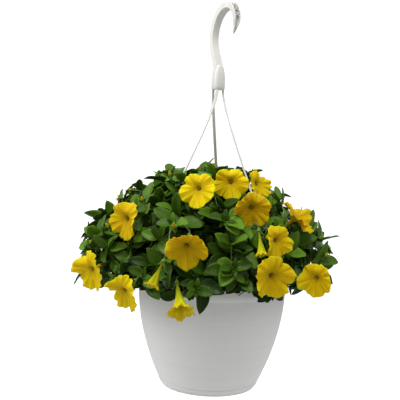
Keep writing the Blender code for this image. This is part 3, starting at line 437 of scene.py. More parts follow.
boss_sections = (  # share of the knuckle's height, and of its radius
    (0.0, 0.86), (0.012, 0.94), (0.04, 0.99), (0.12, 1.04), (0.3, 1.02), (0.5, 0.99), (0.65, 0.93),
    (0.8, 0.83), (0.92, 0.70), (0.98, 0.60), (1.0, 0.48),
)
arm_twist, arm_root_radius, arm_drop, arm_reach = 60.0, 0.0102, 0.038, 0.42
arm_width, arm_thickness, arm_bend_height, arm_elbow = 0.0052, 0.0024, 0.226, 0.009
clip_width, clip_thickness, barb_thickness, tongue_width = 0.0096, 0.0012, 0.0015, 0.0068
clip_air = 0.0003  # between the clip and the lip


def bezier(a, b, c, d, share):
    """A point on a cubic curve."""
    rest = 1.0 - share
    return a * rest**3 + b * (3 * rest * rest * share) + c * (3 * rest * share * share) + d * share**3


def path_tangents(path):
    """The unit direction of a path at each of its points."""
    last = len(path) - 1
    return [(path[min(i + 1, last)] - path[max(i - 1, 0)]).normalized() for i in range(last + 1)]


def around(beside, over, angle):
    """The direction at an angle, in radians, between two cross directions."""
    return beside * math.cos(angle) + over * math.sin(angle)


def ring_of(middle, beside, over, radius, count, start=0.0):
    """A ring of points round a middle, in the plane of two cross directions."""
    turns = [start + 2 * math.pi * k / count for k in range(count)]
    return [middle + around(beside, over, a) * radius for a in turns]


def tube_rings(path, radii, sides, across=None):
    """Rings of a round tube along a path, carried from point to point without twisting."""
    rings = []
    for point, along, radius in zip(path, path_tangents(path), radii):
        start = across or (Vector((0.0, 0.0, 1.0)) if abs(along.z) < 0.8 else Vector((0.0, 1.0, 0.0)))
        across = (start - along * start.dot(along)).normalized()
        rings.append(ring_of(point, across, along.cross(across), radius, sides))
    return rings


def skin(rings, capped=True):
    """Points and faces over rings of equally many points."""
    return [point for ring in rings for point in ring], rings_to_faces(len(rings), len(rings[0]), capped)


def hook_stations():
    """Distance along the hook's plane, height and shares of the full section, knuckle to tip."""
    top = seat_height + hook_depth * seat_swell / 2
    low = Vector((boss_offset, boss_top - neck_sink))
    high = Vector((seat_offset - hook_back, top - hook_back_drop))
    leave, arrive = low + Vector((0.0, neck_leave)), high - Vector((0.0, neck_arrive))
    stations = []
    for i in range(14):
        point = bezier(low, leave, arrive, high, i / 14)
        stations.append((point.x, point.y, 1.0 + neck_swell - neck_swell * i / 14, 1.0))
    for i in range(24):
        turn = math.pi / 2 * i / 24
        share = 1.0 + (seat_swell - 1.0) * (i / 24) ** 1.5
        reach, rise = -hook_back * math.cos(turn), hook_back_drop * (math.sin(turn) - 1)
        stations.append((seat_offset + reach, top + rise, share, share))
    for i in range(16):
        turn = math.pi / 2 * i / 16
        share = seat_swell - (seat_swell - tip_share) * i / 16
        reach, rise = hook_front * math.sin(turn), hook_front_drop * (math.cos(turn) - 1)
        stations.append((seat_offset + reach, top + rise, share, share))
    for i in range(11):
        down = i / 10
        back, drop = tip_back * down**1.6, tip_drop * down
        share = tip_share - tip_taper * down
        stations.append((seat_offset + hook_front - back, top - hook_front_drop - drop, share, share))
    return stations


def channel_ring(middle, outward, across, width, share):
    """The hook's section with eased edges: a web inside the bend and a wall along each edge."""
    half, depth = hook_width * width / 2, hook_depth * share / 2
    wall = min(hook_wall * min(share, 1.0), half * 0.45)
    ease = 0.0005 * min(share, 1.0)
    floor, inside, eased = wall - depth, half - wall, ease * 1.6
    corners = (
        (eased - half, -depth), (-half * 0.4, -depth - 0.0002), (half * 0.4, -depth - 0.0002),
        (half - eased, -depth), (half, -depth + eased), (half, depth - ease), (half - ease, depth),
        (inside + ease, depth), (inside, depth - ease), (inside, floor + ease), (inside - ease, floor),
        (ease - inside, floor), (-inside, floor + ease), (-inside, depth - ease), (-inside - ease, depth),
        (ease - half, depth), (-half, depth - ease), (-half, -depth + eased),
    )
    return [middle + across * sideways + outward * out for sideways, out in corners]


def hook_body(bunch):
    """The channel and the crossed ribs that stiffen its open side."""
    plane, up, across = facing(hook_azimuth, 0), Vector((0.0, 0.0, 1.0)), facing(hook_azimuth + 90, 0)
    stations = hook_stations()
    middles = [plane * station[0] + up * station[1] for station in stations]
    tangents = path_tangents(middles)
    outwards = [plane * -along.z + up * along.dot(plane) for along in tangents]
    rings = [channel_ring(m, o, across, *s[2:]) for m, o, s in zip(middles, outwards, stations)]
    bunch.add(*skin(rings))
    lean = math.radians(rib_lean)
    for bay in range(10, len(stations) - 12, 4):
        middle, along, outward, share = middles[bay], tangents[bay], outwards[bay], stations[bay][3]
        for way in (-1, 1):
            run = around(across, along * way, lean)
            thick = run.cross(outward).normalized() * rib_half
            half = run * (hook_width * stations[bay][2] - hook_wall) / 2 / math.cos(lean)
            low = outward * (hook_wall / 2 - hook_depth * share / 2)
            high = outward * (hook_depth * share / 2 - rib_sink)
            start, end = middle - half, middle + half
            ring = [start - thick, end - thick, end + thick, start + thick]
            bunch.add(*skin([[point + low for point in ring], [point + high for point in ring]]))


def knuckle_body(bunch):
    """The knuckle under the hook, with a lobe where each arm leaves it and a rounded lower edge."""
    middle = facing(hook_azimuth, 0) * boss_offset
    turns = [360.0 / boss_sides * k for k in range(boss_sides)]
    off_arm = [math.radians(3 * (turn - arm_azimuths[0] - arm_twist)) for turn in turns]
    lobes = [1 + boss_lobe * math.cos(angle) for angle in off_arm]
    rings = []
    for rise, share in boss_sections:
        height = boss_bottom + (boss_top - boss_bottom) * rise
        radius = boss_radius * share
        rings.append([middle + place(turn, radius * lobe, height) for turn, lobe in zip(turns, lobes)])
    bunch.add(*skin(rings))


def arm_path(azimuth, shares):
    """Middle of one arm, from inside the knuckle down to the rim."""
    boss = facing(hook_azimuth, 0) * boss_offset
    top = boss + place(azimuth + arm_twist, arm_root_radius * 0.8, boss_bottom + 0.008)
    root = boss + place(azimuth + arm_twist, arm_root_radius, boss_bottom)
    arm_foot = place(azimuth, arm_circle, arm_bend_height)
    leave, arrive = root - Vector((0.0, 0.0, arm_drop)), arm_foot.lerp(root, arm_reach)
    path = [top] + [bezier(root, leave, arrive, arm_foot, share) for share in shares]
    elbow = place(azimuth, arm_circle, arm_bend_height - arm_elbow)
    return path + [elbow, place(azimuth, arm_circle, pot_height + 0.0023)]


def strap_ring(middle, wide, thick, width, thickness):
    """A flat section with rounded edges, eight points."""
    ease = min(0.0006, thickness * 0.3)
    half, flat = width / 2, thickness / 2
    corners = ((ease - half, -flat), (half - ease, -flat), (half, ease - flat), (half, flat - ease))
    corners += ((half - ease, flat), (ease - half, flat), (-half, flat - ease), (-half, ease - flat))
    return [middle + wide * i + thick * j for i, j in corners]


def arm_body(bunch, azimuth):
    """One arm with its clip: a shoulder over the lip, a tongue through it and a barb under it."""
    path = arm_path(azimuth, [0.97 * i / 22 for i in range(23)])
    tangents = path_tangents(path)
    tangents[-1] = Vector((0.0, 0.0, -1.0))
    rings = []
    for i, (middle, along) in enumerate(zip(path, tangents)):
        side = facing(azimuth + arm_twist * max(0.0, 1 - i / 18) + 90, 0)
        wide = (side - along * side.dot(along)).normalized()
        rings.append(strap_ring(middle, wide, along.cross(wide), arm_width, arm_thickness))
    wide, thick = facing(azimuth + 90, 0), facing(azimuth, 0)
    over_lip, under_lip = pot_height + clip_air, pot_height - lip_thickness - clip_air
    steps = (
        (pot_height + 0.0022, clip_width, arm_thickness), (over_lip, clip_width, arm_thickness),
        (over_lip, tongue_width, clip_thickness), (under_lip, tongue_width, clip_thickness),
        (under_lip, clip_width, barb_thickness), (under_lip - 0.0012, clip_width, barb_thickness),
        (under_lip - 0.005, tongue_width * 0.6, clip_thickness * 0.7),
    )
    for height, width, thickness in steps:
        rings.append(strap_ring(place(azimuth, arm_circle, height), wide, thick, width, thickness))
    bunch.add(*skin(rings))


# the hanger is the pot's own white plastic, painted greyer and warmer as painted shade on its thin arms and
# inside the hook
hanger_pale_shaded, hanger_grey_shaded = (0.72, 0.71, 0.68), (0.63, 0.62, 0.58)
hanger_plastic = plastic_finish("hanger plastic", hanger_pale_shaded, hanger_grey_shaded, 0.34, 160.0, 0.0001)
hanger_bunch = Bunch()
hook_body(hanger_bunch)
knuckle_body(hanger_bunch)
for azimuth in arm_azimuths:
    arm_body(hanger_bunch, azimuth)
hanger = hanger_bunch.make("clip_on_hanger", [hanger_plastic], sharp=35)
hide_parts("hanger")

# ---- how the plant grows --------------------------------------------------------------------------
# Each shoot rises from its hole in the compost and arches out over the rim. It carries its blooms on stalks
# and its leaves alternately along the stem. Every leaf is turned until it clears what has grown before it.

# name: azimuth, radius and height of the tip, and radius of the root (all mm, but the azimuth in degrees)
shoots = {
    "low_left": (-73, 226, 246, 76),
    "low_left_front": (-47, 216, 214, 78),
    "low_front_left": (-34, 200, 218, 72),
    "low_front": (-7, 206, 212, 78),
    "low_front_right": (10, 198, 246, 70),
    "low_right_front": (33, 196, 216, 78),
    "low_right": (62, 196, 232, 76),
    "low_right_side": (84, 200, 256, 74),
    "low_back_right": (110, 205, 226, 76),
    "low_back_1": (139, 212, 221, 76),
    "low_back_2": (163, 206, 232, 76),
    "low_back_3": (190, 214, 216, 76),
    "low_back_4": (216, 212, 236, 76),
    "low_back_left": (242, 220, 222, 76),
    "low_left_side": (267, 228, 264, 76),
    "mid_left": (-55, 164, 322, 46),
    "mid_front_left": (-24, 166, 306, 44),
    "mid_front": (6, 160, 318, 46),
    "mid_right": (40, 160, 300, 46),
    "mid_right_side": (92, 140, 312, 46),
    "mid_back_right": (140, 156, 314, 46),
    "mid_back": (190, 160, 318, 46),
    "mid_back_left": (244, 164, 322, 46),
    "top_left": (-40, 92, 372, 18),
    "top_front": (0, 36, 383, 20),
    "top_right": (118, 62, 378, 20),
    "top_back": (204, 66, 378, 20),
    "top_back_left": (262, 86, 378, 18),
}

# name: shoot, azimuth, radius (mm), height (mm), yaw, pitch, width across (mm)
blooms = {
    "bloom_left_front": ("mid_left", -48, 204, 309, -43, -6, 66),
    "bloom_far_left": ("low_left", -59, 243, 218, -43, -16, 70),
    "bloom_low_left": ("low_left_front", -37, 240, 197, -40, -30, 66),
    "bloom_front": ("mid_front_left", -11.5, 217, 276, -6, -30, 70),
    "bloom_top_left": ("top_left", -15, 126, 365, -20, 8, 64),
    "bloom_top_front": ("top_front", 14, 99, 376, 2, 6, 61),
    "bloom_top_right": ("top_right", 84, 78, 371, 48, 18, 56),
    "bloom_upper_front": ("mid_front", 22, 162, 337, 14, -14, 63),
    "bloom_right_edge": ("mid_right", 56, 171, 327, 72, 44, 70),
    "bloom_right_front": ("mid_right", 31, 203, 291, 42, 0, 59),
    "bloom_low_right": ("low_right_front", 25.5, 226, 237, 26, -8, 70),
    "bloom_far_right": ("low_right", 48, 224, 227, -26, -10, 60),
    "bloom_right_side": ("low_right_side", 100, 190, 208, 100, -14, 56),
    "bloom_back_right": ("low_back_right", 133, 216, 224, 134, -4, 60),
    "bloom_back_low": ("low_back_1", 150, 228, 206, 150, -20, 60),
    "bloom_back_right_up": ("mid_back_right", 152, 178, 318, 150, 16, 60),
    "bloom_back": ("low_back_2", 175, 222, 252, 176, -2, 62),
    "bloom_back_left": ("low_back_4", 228, 224, 250, 228, 0, 62),
    "bloom_left_back_low": ("low_back_left", 238, 230, 205, 240, -16, 60),
    "bloom_left_back_up": ("mid_back_left", 230, 166, 315, 232, 20, 56),
    "bloom_top_back": ("top_back", 190, 98, 376, 188, 36, 58),
}
# half-open blooms, still funnels: the same columns
trumpets = {
    "trumpet_left": ("mid_front_left", -24, 231, 215, -50, -62, 27),
    "trumpet_rim": ("low_front", -11.5, 231, 179, 14, -44, 46),
    "trumpet_right": ("low_front_right", 21.5, 208, 269, 20, -66, 24),
}

dome_centre = Vector((-0.010, 0.0, 0.195))  # leaves and blooms face away from here
leaf_slenderness, leaf_fold, leaf_rib, leaf_length = 0.54, 0.30, 0.0006, 0.049
leaf_spread, leaf_arches, leaf_swing = (0.86, 1.12), (0.10, 0.30), 14
young_leaf = 0.72  # length share of the two leaves at a shoot's tip
leaf_shrinks = (1.0, 0.86, 0.72)  # what is tried, in this order, until a leaf stands free
leaf_turns = (78, 52, 100, 30, 124, 8)  # degrees round the stem
leaf_leans = (58, 38, 76)  # degrees away from the stem
leaf_places = (0.0, 0.005, 0.022, 0.041, 0.062, 0.085, 0.112)  # back from the shoot's tip
leaf_air, filler_air, petal_air = 0.0007, 0.0001, 0.0025  # round large and small leaves, and by petals
leaf_over_soil, leaf_under_rim = 0.006, 0.035
low_shoot = 290  # mm: shoots with a lower tip carry one leaf less
leaf_stations = ((0.26, 0.80), (0.54, 1.0), (0.81, 0.64))  # shares of length and width
stem_foot_radius, stem_tip_radius, root_depth = 0.0021, 0.0011, 0.013
stem_tip, stem_bare = 0.985, 0.16  # shares of the stem where the first and the last leaf stand
stalk_radius, stalk_length, stalk_air = 0.0010, 0.038, 0.0008
stalk_starts = [0.96 - 0.05 * i for i in range(14)]
cup_depth, cup_radius, cup_floor_radius, cup_shoulder = 0.006, 0.0036, 0.0028, 0.0015
sepal_rise, sepal_spread, notch_rise = 0.011, 0.0095, 0.0006
guard_inside, guard_outside, guard_bottom, guard_top = 0.1290, 0.1395, 0.150, 0.1996
arm_guard_radius = 0.0046
trumpet_width = 50  # mm: a narrower bloom is a trumpet
margin_points = 20
margin_shares = (0.84, 0.96, 1.0, 0.96)
trumpet_neck, trumpet_bowl, bloom_bowl, bloom_neck = 0.38, 0.66, 0.42, 0.0038
trumpet_throat, bloom_throat = 0.34, 0.39
trumpet_bowl_depth, bloom_bowl_depth = 0.86, 0.78  # shares of the depth where the limb spreads
all_blooms = {**blooms, **trumpets}


def stem_point(shoot, share):
    """A point along a shoot, from the compost (0) to its tip (1)."""
    azimuth, radius, height, root = shoots[shoot]
    low = place(azimuth, root / 1000, soil_top)
    tip = place(azimuth, radius / 1000, height / 1000)
    run, rise = (radius - root) / 1000, tip.z - low.z
    up = Vector((0.0, 0.0, 1.0))
    rising = low + up * (0.45 * rise + 0.045)
    arching = tip - facing(azimuth, 0) * (0.35 * run) + up * (0.20 * run - 0.10 * rise)
    return bezier(low, rising, arching, tip, share)


def bloom_size(bloom):
    """Whether a bloom is a trumpet, how far its margin stands out, and half its width."""
    width, trumpet = bloom[6] / 1000, bloom[6] < trumpet_width
    depth = 0.045 * (width / 0.030) ** 0.5 if trumpet else 0.033 * (width / 0.060) ** 0.5
    return trumpet, depth, width / 2


def bloom_frame(bloom):
    """Where a bloom's tube starts, which way it faces, and its two cross directions."""
    azimuth, radius, height, yaw, pitch = bloom[1:6]
    out, beside = facing(yaw, pitch), facing(yaw + 90, 0)
    low = place(azimuth, radius / 1000, height / 1000) - out * bloom_size(bloom)[1]
    return low, out, beside, beside.cross(out)


def leaf_point(leaf, run):
    """A point on a leaf's rib, at a share of its length."""
    base, along, face, length, arch = leaf
    return base + along * (length * run) - face * (arch * length * run * run)


def room_of_leaf(leaf, spare=0.0):
    """The room a leaf takes: a folded, arching blade."""
    base, along, face, length, arch = leaf
    beside = along.cross(face)
    points = []
    for run, width in leaf_stations:
        middle = leaf_point(leaf, run)
        half = length * leaf_slenderness / 2 * width + spare
        edge, rib = face * (half * leaf_fold), face * (leaf_rib + spare)
        points += [middle - beside * half + edge, middle + rib, middle + beside * half + edge, middle - rib]
    low = len(points)
    points.append(base + along * (0.12 * length if spare else 0.0))
    points.append(base + along * (length + spare) - face * (arch * length))
    faces = []
    for ring in range(0, low - 4, 4):
        left, top, right, under = range(ring, ring + 4)
        for edge, rib in ((left, top), (right, top), (right, under), (left, under)):
            faces += [(edge, rib, rib + 4), (edge, rib + 4, edge + 4)]
    for a, b in ((0, 1), (1, 2), (2, 3), (3, 0)):
        faces += [(b, a, low), (low - 4 + a, low - 4 + b, low + 1)]
    return points, faces


def margin_of(bloom, seed):
    """The bloom's turn about its own way, and each margin point's reach and lift."""
    trumpet, depth, limb = bloom_size(bloom)
    draw = random.Random(seed)
    roll = draw.uniform(0, 2 * math.pi)
    waves = [draw.uniform(-0.05, 0.05) for _ in range(margin_points)]
    margin = []
    for k in range(margin_points):
        notch = k % 4 == 0
        share = margin_shares[k % 4] * (0.75 if notch and trumpet else 1.0)
        lift = waves[k] - (0.10 if notch else 0.0)
        margin.append((limb * share * (1 + waves[k] / 2), depth + limb * lift))
    return roll, margin


def room_of_bloom(bloom, seed):
    """The room a bloom takes: a funnel of two skins that meet at the margin."""
    low, out, beside, over = bloom_frame(bloom)
    trumpet, depth, limb = bloom_size(bloom)
    roll, margin = margin_of(bloom, seed)

    def ring(count, radius, rise):
        return ring_of(low + out * rise, beside, over, radius, count, roll)

    edge = []
    for k, (reach, rise) in enumerate(margin):
        a = roll + 2 * math.pi * (k - 2) / margin_points
        edge.append(low + out * rise + around(beside, over, a) * reach)
    bowl = limb * (trumpet_bowl if trumpet else bloom_bowl)
    neck = limb * trumpet_neck if trumpet else bloom_neck
    bowl_rise = depth * (trumpet_bowl_depth if trumpet else bloom_bowl_depth)
    points = ring(5, 0.0020, 0.0003) + ring(5, neck, depth * 0.56) + ring(10, bowl, bowl_rise) + edge
    points += ring(10, bowl - 0.0006, bowl_rise + 0.0012) + ring(5, neck - 0.0011, depth * 0.60)
    points.append(low + out * depth * (trumpet_throat if trumpet else bloom_throat))
    faces = [(4, 3, 2, 1, 0)]
    for k in range(5):
        after = (k + 1) % 5
        faces += [(k, after, 5 + after), (k, 5 + after, 5 + k), (50 + after, 50 + k, 55)]
        for neck, bowl_start in ((5, 10), (50, 40)):
            one, two, three = bowl_start + 2 * k, bowl_start + 2 * k + 1, bowl_start + (2 * k + 2) % 10
            faces += [(neck + k, two, one), (neck + k, neck + after, two), (neck + after, three, two)]
    for k in range(10):
        tips = [20 + (2 * k + 2 + step) % margin_points for step in range(3)]
        for bowl_start in (10, 40):
            here, after = bowl_start + k, bowl_start + (k + 1) % 10
            faces += [(here, tips[1], tips[0]), (here, after, tips[1]), (after, tips[2], tips[1])]
    return points, faces


def room_of_stem(shoot):
    """The room a stem takes."""
    path = [stem_point(shoot, i / 7) for i in range(8)]
    path = [path[0] - Vector((0.0, 0.0, root_depth - 0.001))] + path
    taper = (stem_tip_radius - stem_foot_radius) / len(path)
    return skin(tube_rings(path, [stem_foot_radius + taper * i for i in range(len(path))], 4))


def stalk_route(bloom, start):
    """The root, leaving point, arriving point and end of a stalk, and whether it bends hard."""
    low, out = bloom_frame(bloom)[:2]
    root = stem_point(bloom[0], start)
    ahead = (stem_point(bloom[0], start + 0.02) - root).normalized()
    end = low - out * cup_depth
    span = (end - root).length
    leave = (ahead + (root - dome_centre).normalized() * 0.6).normalized()
    return (root, root + leave * span * 0.4, end - out * span * 0.4, end), leave.dot(out) <= 0.55


def room_of_stalk(bloom, start, spare=0.0):
    """The room a stalk takes, with its cup and five sepals."""
    low, out, beside, over = bloom_frame(bloom)
    route, bent = stalk_route(bloom, start)
    bands = 4 if bent else 2
    clear = 0.2 if spare else 0.0
    path = [bezier(*route, 1.0 - (1.0 - clear) * i / bands) for i in range(bands + 1)]
    rings = tube_rings(path, [stalk_radius + spare] * len(path), 5, beside)
    turns = [2 * math.pi * k / 5 for k in range(5)]
    spread = [around(beside, over, a) for a in turns]
    between = [around(beside, over, a + math.pi / 5) for a in turns]
    rings[0] = [route[3] + s * (stalk_radius + spare) for s in spread]
    rings.reverse()
    points = [point for ring in rings for point in ring]
    last = len(points) - 5
    points += [low - out * cup_shoulder + s * (cup_radius + spare) for s in spread]
    star = len(points)
    for s, b in zip(spread, between):
        points += [low + out * sepal_rise + s * sepal_spread, low + out * notch_rise + b * cup_radius]
    floor = len(points)
    points += [low + s * cup_floor_radius for s in spread]
    faces = rings_to_faces(len(rings), 5)[:-1]
    cup = last + 5
    for k in range(5):
        after = (k + 1) % 5
        faces.append((last + k, last + after, cup + after, cup + k))
        tip, notch, next_tip = star + 2 * k, star + 2 * k + 1, star + 2 * after
        faces += [(cup + k, notch, tip), (cup + k, cup + after, notch), (cup + after, next_tip, notch)]
        faces += [(floor + k, tip, notch), (floor + k, notch, floor + after)]
        faces.append((floor + after, notch, next_tip))
    faces.append(tuple(floor + k for k in range(5)))
    return points, faces


def ball_round(points):
    """The middle and the radius of a ball that holds the points."""
    centre = sum(points, Vector()) / len(points)
    return centre, max((point - centre).length for point in points)


def claim(taken, room, owner):
    """Records the room that a body takes up."""
    taken.append((*ball_round(room[0]), BVHTree.FromPolygons(*room), owner))


def is_free(taken, room, owners=()):
    """True if the room meets nothing that is recorded, apart from what its owners hold."""
    centre, radius = ball_round(room[0])
    tree = None
    for other_centre, other_radius, other_tree, owner in taken:
        if owner in owners or (centre - other_centre).length > radius + other_radius:
            continue
        tree = tree or BVHTree.FromPolygons(*room)
        if tree.overlap(other_tree):
            return False
    return True


def stalk_strain(bloom, start):
    """How hard a stalk would have to bend from this place on its shoot, or be too short or long."""
    low, out = bloom_frame(bloom)[:2]
    root = stem_point(bloom[0], start)
    span = low - out * cup_depth - root
    ahead = (stem_point(bloom[0], start + 0.02) - root).normalized()
    way = span.normalized()
    off_length = abs(span.length - stalk_length) / stalk_length
    return (1 - way.dot(out)) + 0.5 * (1 - way.dot(ahead)) + off_length


def rim_guard():
    """A ring round the pot's rim that leaves keep out of."""
    corners = ((guard_inside, guard_bottom), (guard_outside, guard_bottom))
    corners += ((guard_outside, guard_top), (guard_inside, guard_top))
    rings = [[place(7.5 * k, radius, height) for radius, height in corners] for k in range(48)]
    return skin(rings + [rings[0]])


def is_high_enough(leaf, under_rim=leaf_under_rim):
    """True for a leaf that stays above the compost, or outside the pot hangs only this far down."""
    for point in room_of_leaf(leaf)[0]:
        outside = math.hypot(point.x, point.y) >= rim_radius
        if point.z < (pot_height - under_rim if outside else soil_top + leaf_over_soil):
            return False
    return True


def leaf_ways(shoot, back, side, draw, size):
    """The ways a leaf could stand on a shoot, this far back from its tip, the likeliest first."""
    path = [stem_point(shoot, i / 8) for i in range(9)]
    span = sum((far - near).length for near, far in zip(path, path[1:]))
    share = stem_tip - back / span
    swing = draw.uniform(-leaf_swing, leaf_swing)
    length = leaf_length * draw.uniform(*leaf_spread) * size
    arch = draw.uniform(*leaf_arches)
    if share < stem_bare:
        return
    base = stem_point(shoot, share)
    along = (stem_point(shoot, share + 0.02) - stem_point(shoot, share - 0.02)).normalized()
    yield from ways_at(base, along, side, swing, length, arch)


def ways_at(base, along, side, swing, length, arch):
    """The ways a leaf could stand at a place on a stem that runs this way."""
    out = ((base - dome_centre).normalized() + Vector((0.0, 0.0, 0.25))).normalized()
    over = (out - along * out.dot(along)).normalized()
    beside = along.cross(over)
    for shrink in leaf_shrinks:
        for turn in leaf_turns:
            for lean in leaf_leans:
                way = around(over, beside, math.radians(side * turn + swing))
                way = around(along, way, math.radians(lean)).normalized()
                face = (out - way * out.dot(way)).normalized()
                yield base, way, face, length * shrink, arch


def before_a_bloom(point):
    """True where a leaf would stand before a bloom's face."""
    for bloom in all_blooms.values():
        low, out = bloom_frame(bloom)[:2]
        ahead = (point - low).dot(out)
        aside = (point - low - out * ahead).length
        if ahead > 0.010 and aside < 0.4 * bloom[6] / 1000 + 0.004 and ahead < 0.14:
            return True
    return False


onlooker = Vector((0.0, -1.5, 0.475))  # where one stands to look at the basket
open_rim = (-9.0, 25.0)  # azimuths between which no leaf hangs over the rim
leaf_reach = 0.009  # how far a leaf may stand out beyond the plant's solids
filler_count, filler_start, filler_step, filler_drop = 14, 0.013, 0.0165, 0.010
young_filler, old_filler = (0.45, 0.72), (0.60, 0.98)  # share of a full leaf's length
aim_count, aim_depths, aim_low, aim_rise = 700, (0.95, 0.80, 0.88, 0.70), -0.22, 1.20
aim_air = 0.015  # a side shoot aims this far from the middle of any leaf
side_shoot_lengths = (0.012, 0.105)
side_shoot_leaves = (8, 8, 8, 7, 6, 5, 4, 3, 2)  # the steps of its path where the leaves stand
side_leaf_turn, side_leaf_drop = 137.5, 0.014


def hides_a_bloom(point):
    """True where a leaf would hide a bloom from the front."""
    for _, azimuth, radius, height, _, _, width in all_blooms.values():
        if 100 < azimuth < 260:
            continue
        middle = place(azimuth, radius / 1000, height / 1000)
        way = (middle - onlooker).normalized()
        ahead = (point - onlooker).dot(way)
        aside = (point - onlooker - way * ahead).length
        if aside < 0.42 * width / 1000 and ahead < (middle - onlooker).length - 0.004:
            return True
    return False


def hides_the_rim(point):
    """True where a leaf would hang over the open stretch of rim in front."""
    azimuth = math.degrees(math.atan2(point.x, -point.y))
    over = math.hypot(point.x, point.y) > rim_radius - 0.004
    return over and open_rim[0] < azimuth < open_rim[1] and point.z < pot_height + 0.006


def reaches_too_far(leaf):
    """True for a leaf that would stand out of the plant's own reach to any side."""
    base, along, _, length, _ = leaf
    tip = pot_foot + base + along * length
    return any(not solids_low[i] - leaf_reach < tip[i] < solids_high[i] + leaf_reach for i in (0, 1))


def leaf_covers(leaf):
    """True for a leaf that stands before a bloom, or hides one or the rim from the front."""
    spots = [leaf_point(leaf, run) for run in (0.35, 0.65, 0.95)]
    return any(before_a_bloom(spot) or hides_a_bloom(spot) or hides_the_rim(spot) for spot in spots)


taken = []
claim(taken, rim_guard(), "pot")
for azimuth in arm_azimuths:
    path = arm_path(azimuth, (0.0, 0.15, 0.32, 0.52, 0.76, 0.97))
    for near, far in zip(path, path[1:]):
        claim(taken, skin(tube_rings([near, far], [arm_guard_radius] * 2, 6)), "hanger")
for number, (name, bloom) in enumerate(all_blooms.items()):
    claim(taken, room_of_bloom(bloom, number), name)
for shoot in shoots:
    claim(taken, room_of_stem(shoot), shoot)
grown = {shoot: {"stalks": [], "leaves": []} for shoot in shoots}
for name, bloom in all_blooms.items():
    shoot = bloom[0]
    free = []
    for start in stalk_starts:
        if is_free(taken, room_of_stalk(bloom, start, stalk_air), (name, shoot)):
            free.append(start)
    start = min(free or stalk_starts, key=lambda one: stalk_strain(bloom, one))
    grown[shoot]["stalks"].append((name, start))
    claim(taken, room_of_stalk(bloom, start), shoot + "_stalk")
for order, back in enumerate(leaf_places):
    for number, shoot in enumerate(shoots):
        if order > 5 and shoots[shoot][2] < low_shoot:
            continue
        draw = random.Random(1000 * number + order)
        size = young_leaf if order < 2 else 1.0
        for leaf in leaf_ways(shoot, back, 1 if order % 2 else -1, draw, size):
            if is_high_enough(leaf) and is_free(taken, room_of_leaf(leaf, leaf_air)):
                grown[shoot]["leaves"].append(leaf)
                claim(taken, room_of_leaf(leaf), shoot + "_leaf")
                break

solid_leaves = {shoot: len(grown[shoot]["leaves"]) for shoot in shoots}  # how many the solid has

# smaller leaves fill in between and lower down each stem, where the plant is dense
for order in range(filler_count):
    for number, shoot in enumerate(shoots):
        draw = random.Random(50000 + 1000 * number + order)
        back = filler_start + filler_step * order
        size = draw.uniform(*(young_filler if order < 2 else old_filler))
        for leaf in leaf_ways(shoot, back, -1 if order % 2 else 1, draw, size):
            if leaf_covers(leaf) or not is_high_enough(leaf, filler_drop):
                continue
            if is_free(taken, room_of_leaf(leaf, filler_air)):
                grown[shoot]["leaves"].append(leaf)
                claim(taken, room_of_leaf(leaf), shoot + "_leaf")
                break


def reach_towards(way):
    """How far the plant reaches from its centre in a direction, between the tips of its shoots."""
    total = weight_sum = 0.0
    for shoot in shoots:
        tip = stem_point(shoot, 1.0) - dome_centre
        weight = 1.0 / (1.0 - way.dot(tip.normalized()) + 0.01) ** 3
        total += weight * tip.length
        weight_sum += weight
    return total / weight_sum


def side_shoot_path(start, way, end):
    """A side shoot bends up out of its stem and ends along the way from the plant's centre."""
    span = (end - start).length
    leave = (way + (start - dome_centre).normalized()).normalized()
    arrive = (end - dome_centre).normalized() + Vector((0.0, 0.0, 0.5)) + (end - start).normalized()
    leave_at, arrive_at = start + leave * span * 0.3, end - arrive.normalized() * span * 0.35
    return [bezier(start, leave_at, arrive_at, end, i / 8) for i in range(9)]


# a leaf that would stand before a bloom's face turns to one side of it
for shoot in shoots:
    for number, leaf in enumerate(grown[shoot]["leaves"]):
        if not leaf_covers(leaf):
            continue
        base, along, _, length, arch = leaf
        clear = []
        for side in (1, -1):
            for other in ways_at(base, along, side, 0, length * 0.9, arch):
                if leaf_covers(other) or not is_high_enough(other):
                    continue
                if is_free(taken, room_of_leaf(other, filler_air), (shoot + "_leaf",)):
                    clear.append(other)
        if clear:
            grown[shoot]["leaves"][number] = max(clear, key=lambda other: other[1].dot(along))

# a long leaf hangs down over the rim, beside the half-open bloom there
hanging_height, hanging_length, hanging_face = 0.2235, 0.058, facing(46, 10)
stem_places = [stem_point("low_front", i / 40) for i in range(24, 40)]
hanging_base = min(stem_places, key=lambda point: abs(point.z - hanging_height))
for side in (0, 1, -1, 2, -2, 3, -3, 4, -4):
    way = (place(-3.5 + side, 0.184, 0.168) - hanging_base).normalized()
    face = (hanging_face - way * hanging_face.dot(way)).normalized()
    leaf = (hanging_base, way, face, hanging_length, 0.10)
    if is_free(taken, room_of_leaf(leaf, filler_air), ("low_front", "low_front_leaf")):
        grown["low_front"]["leaves"].append(leaf)
        claim(taken, room_of_leaf(leaf), "low_front_leaf")
        break

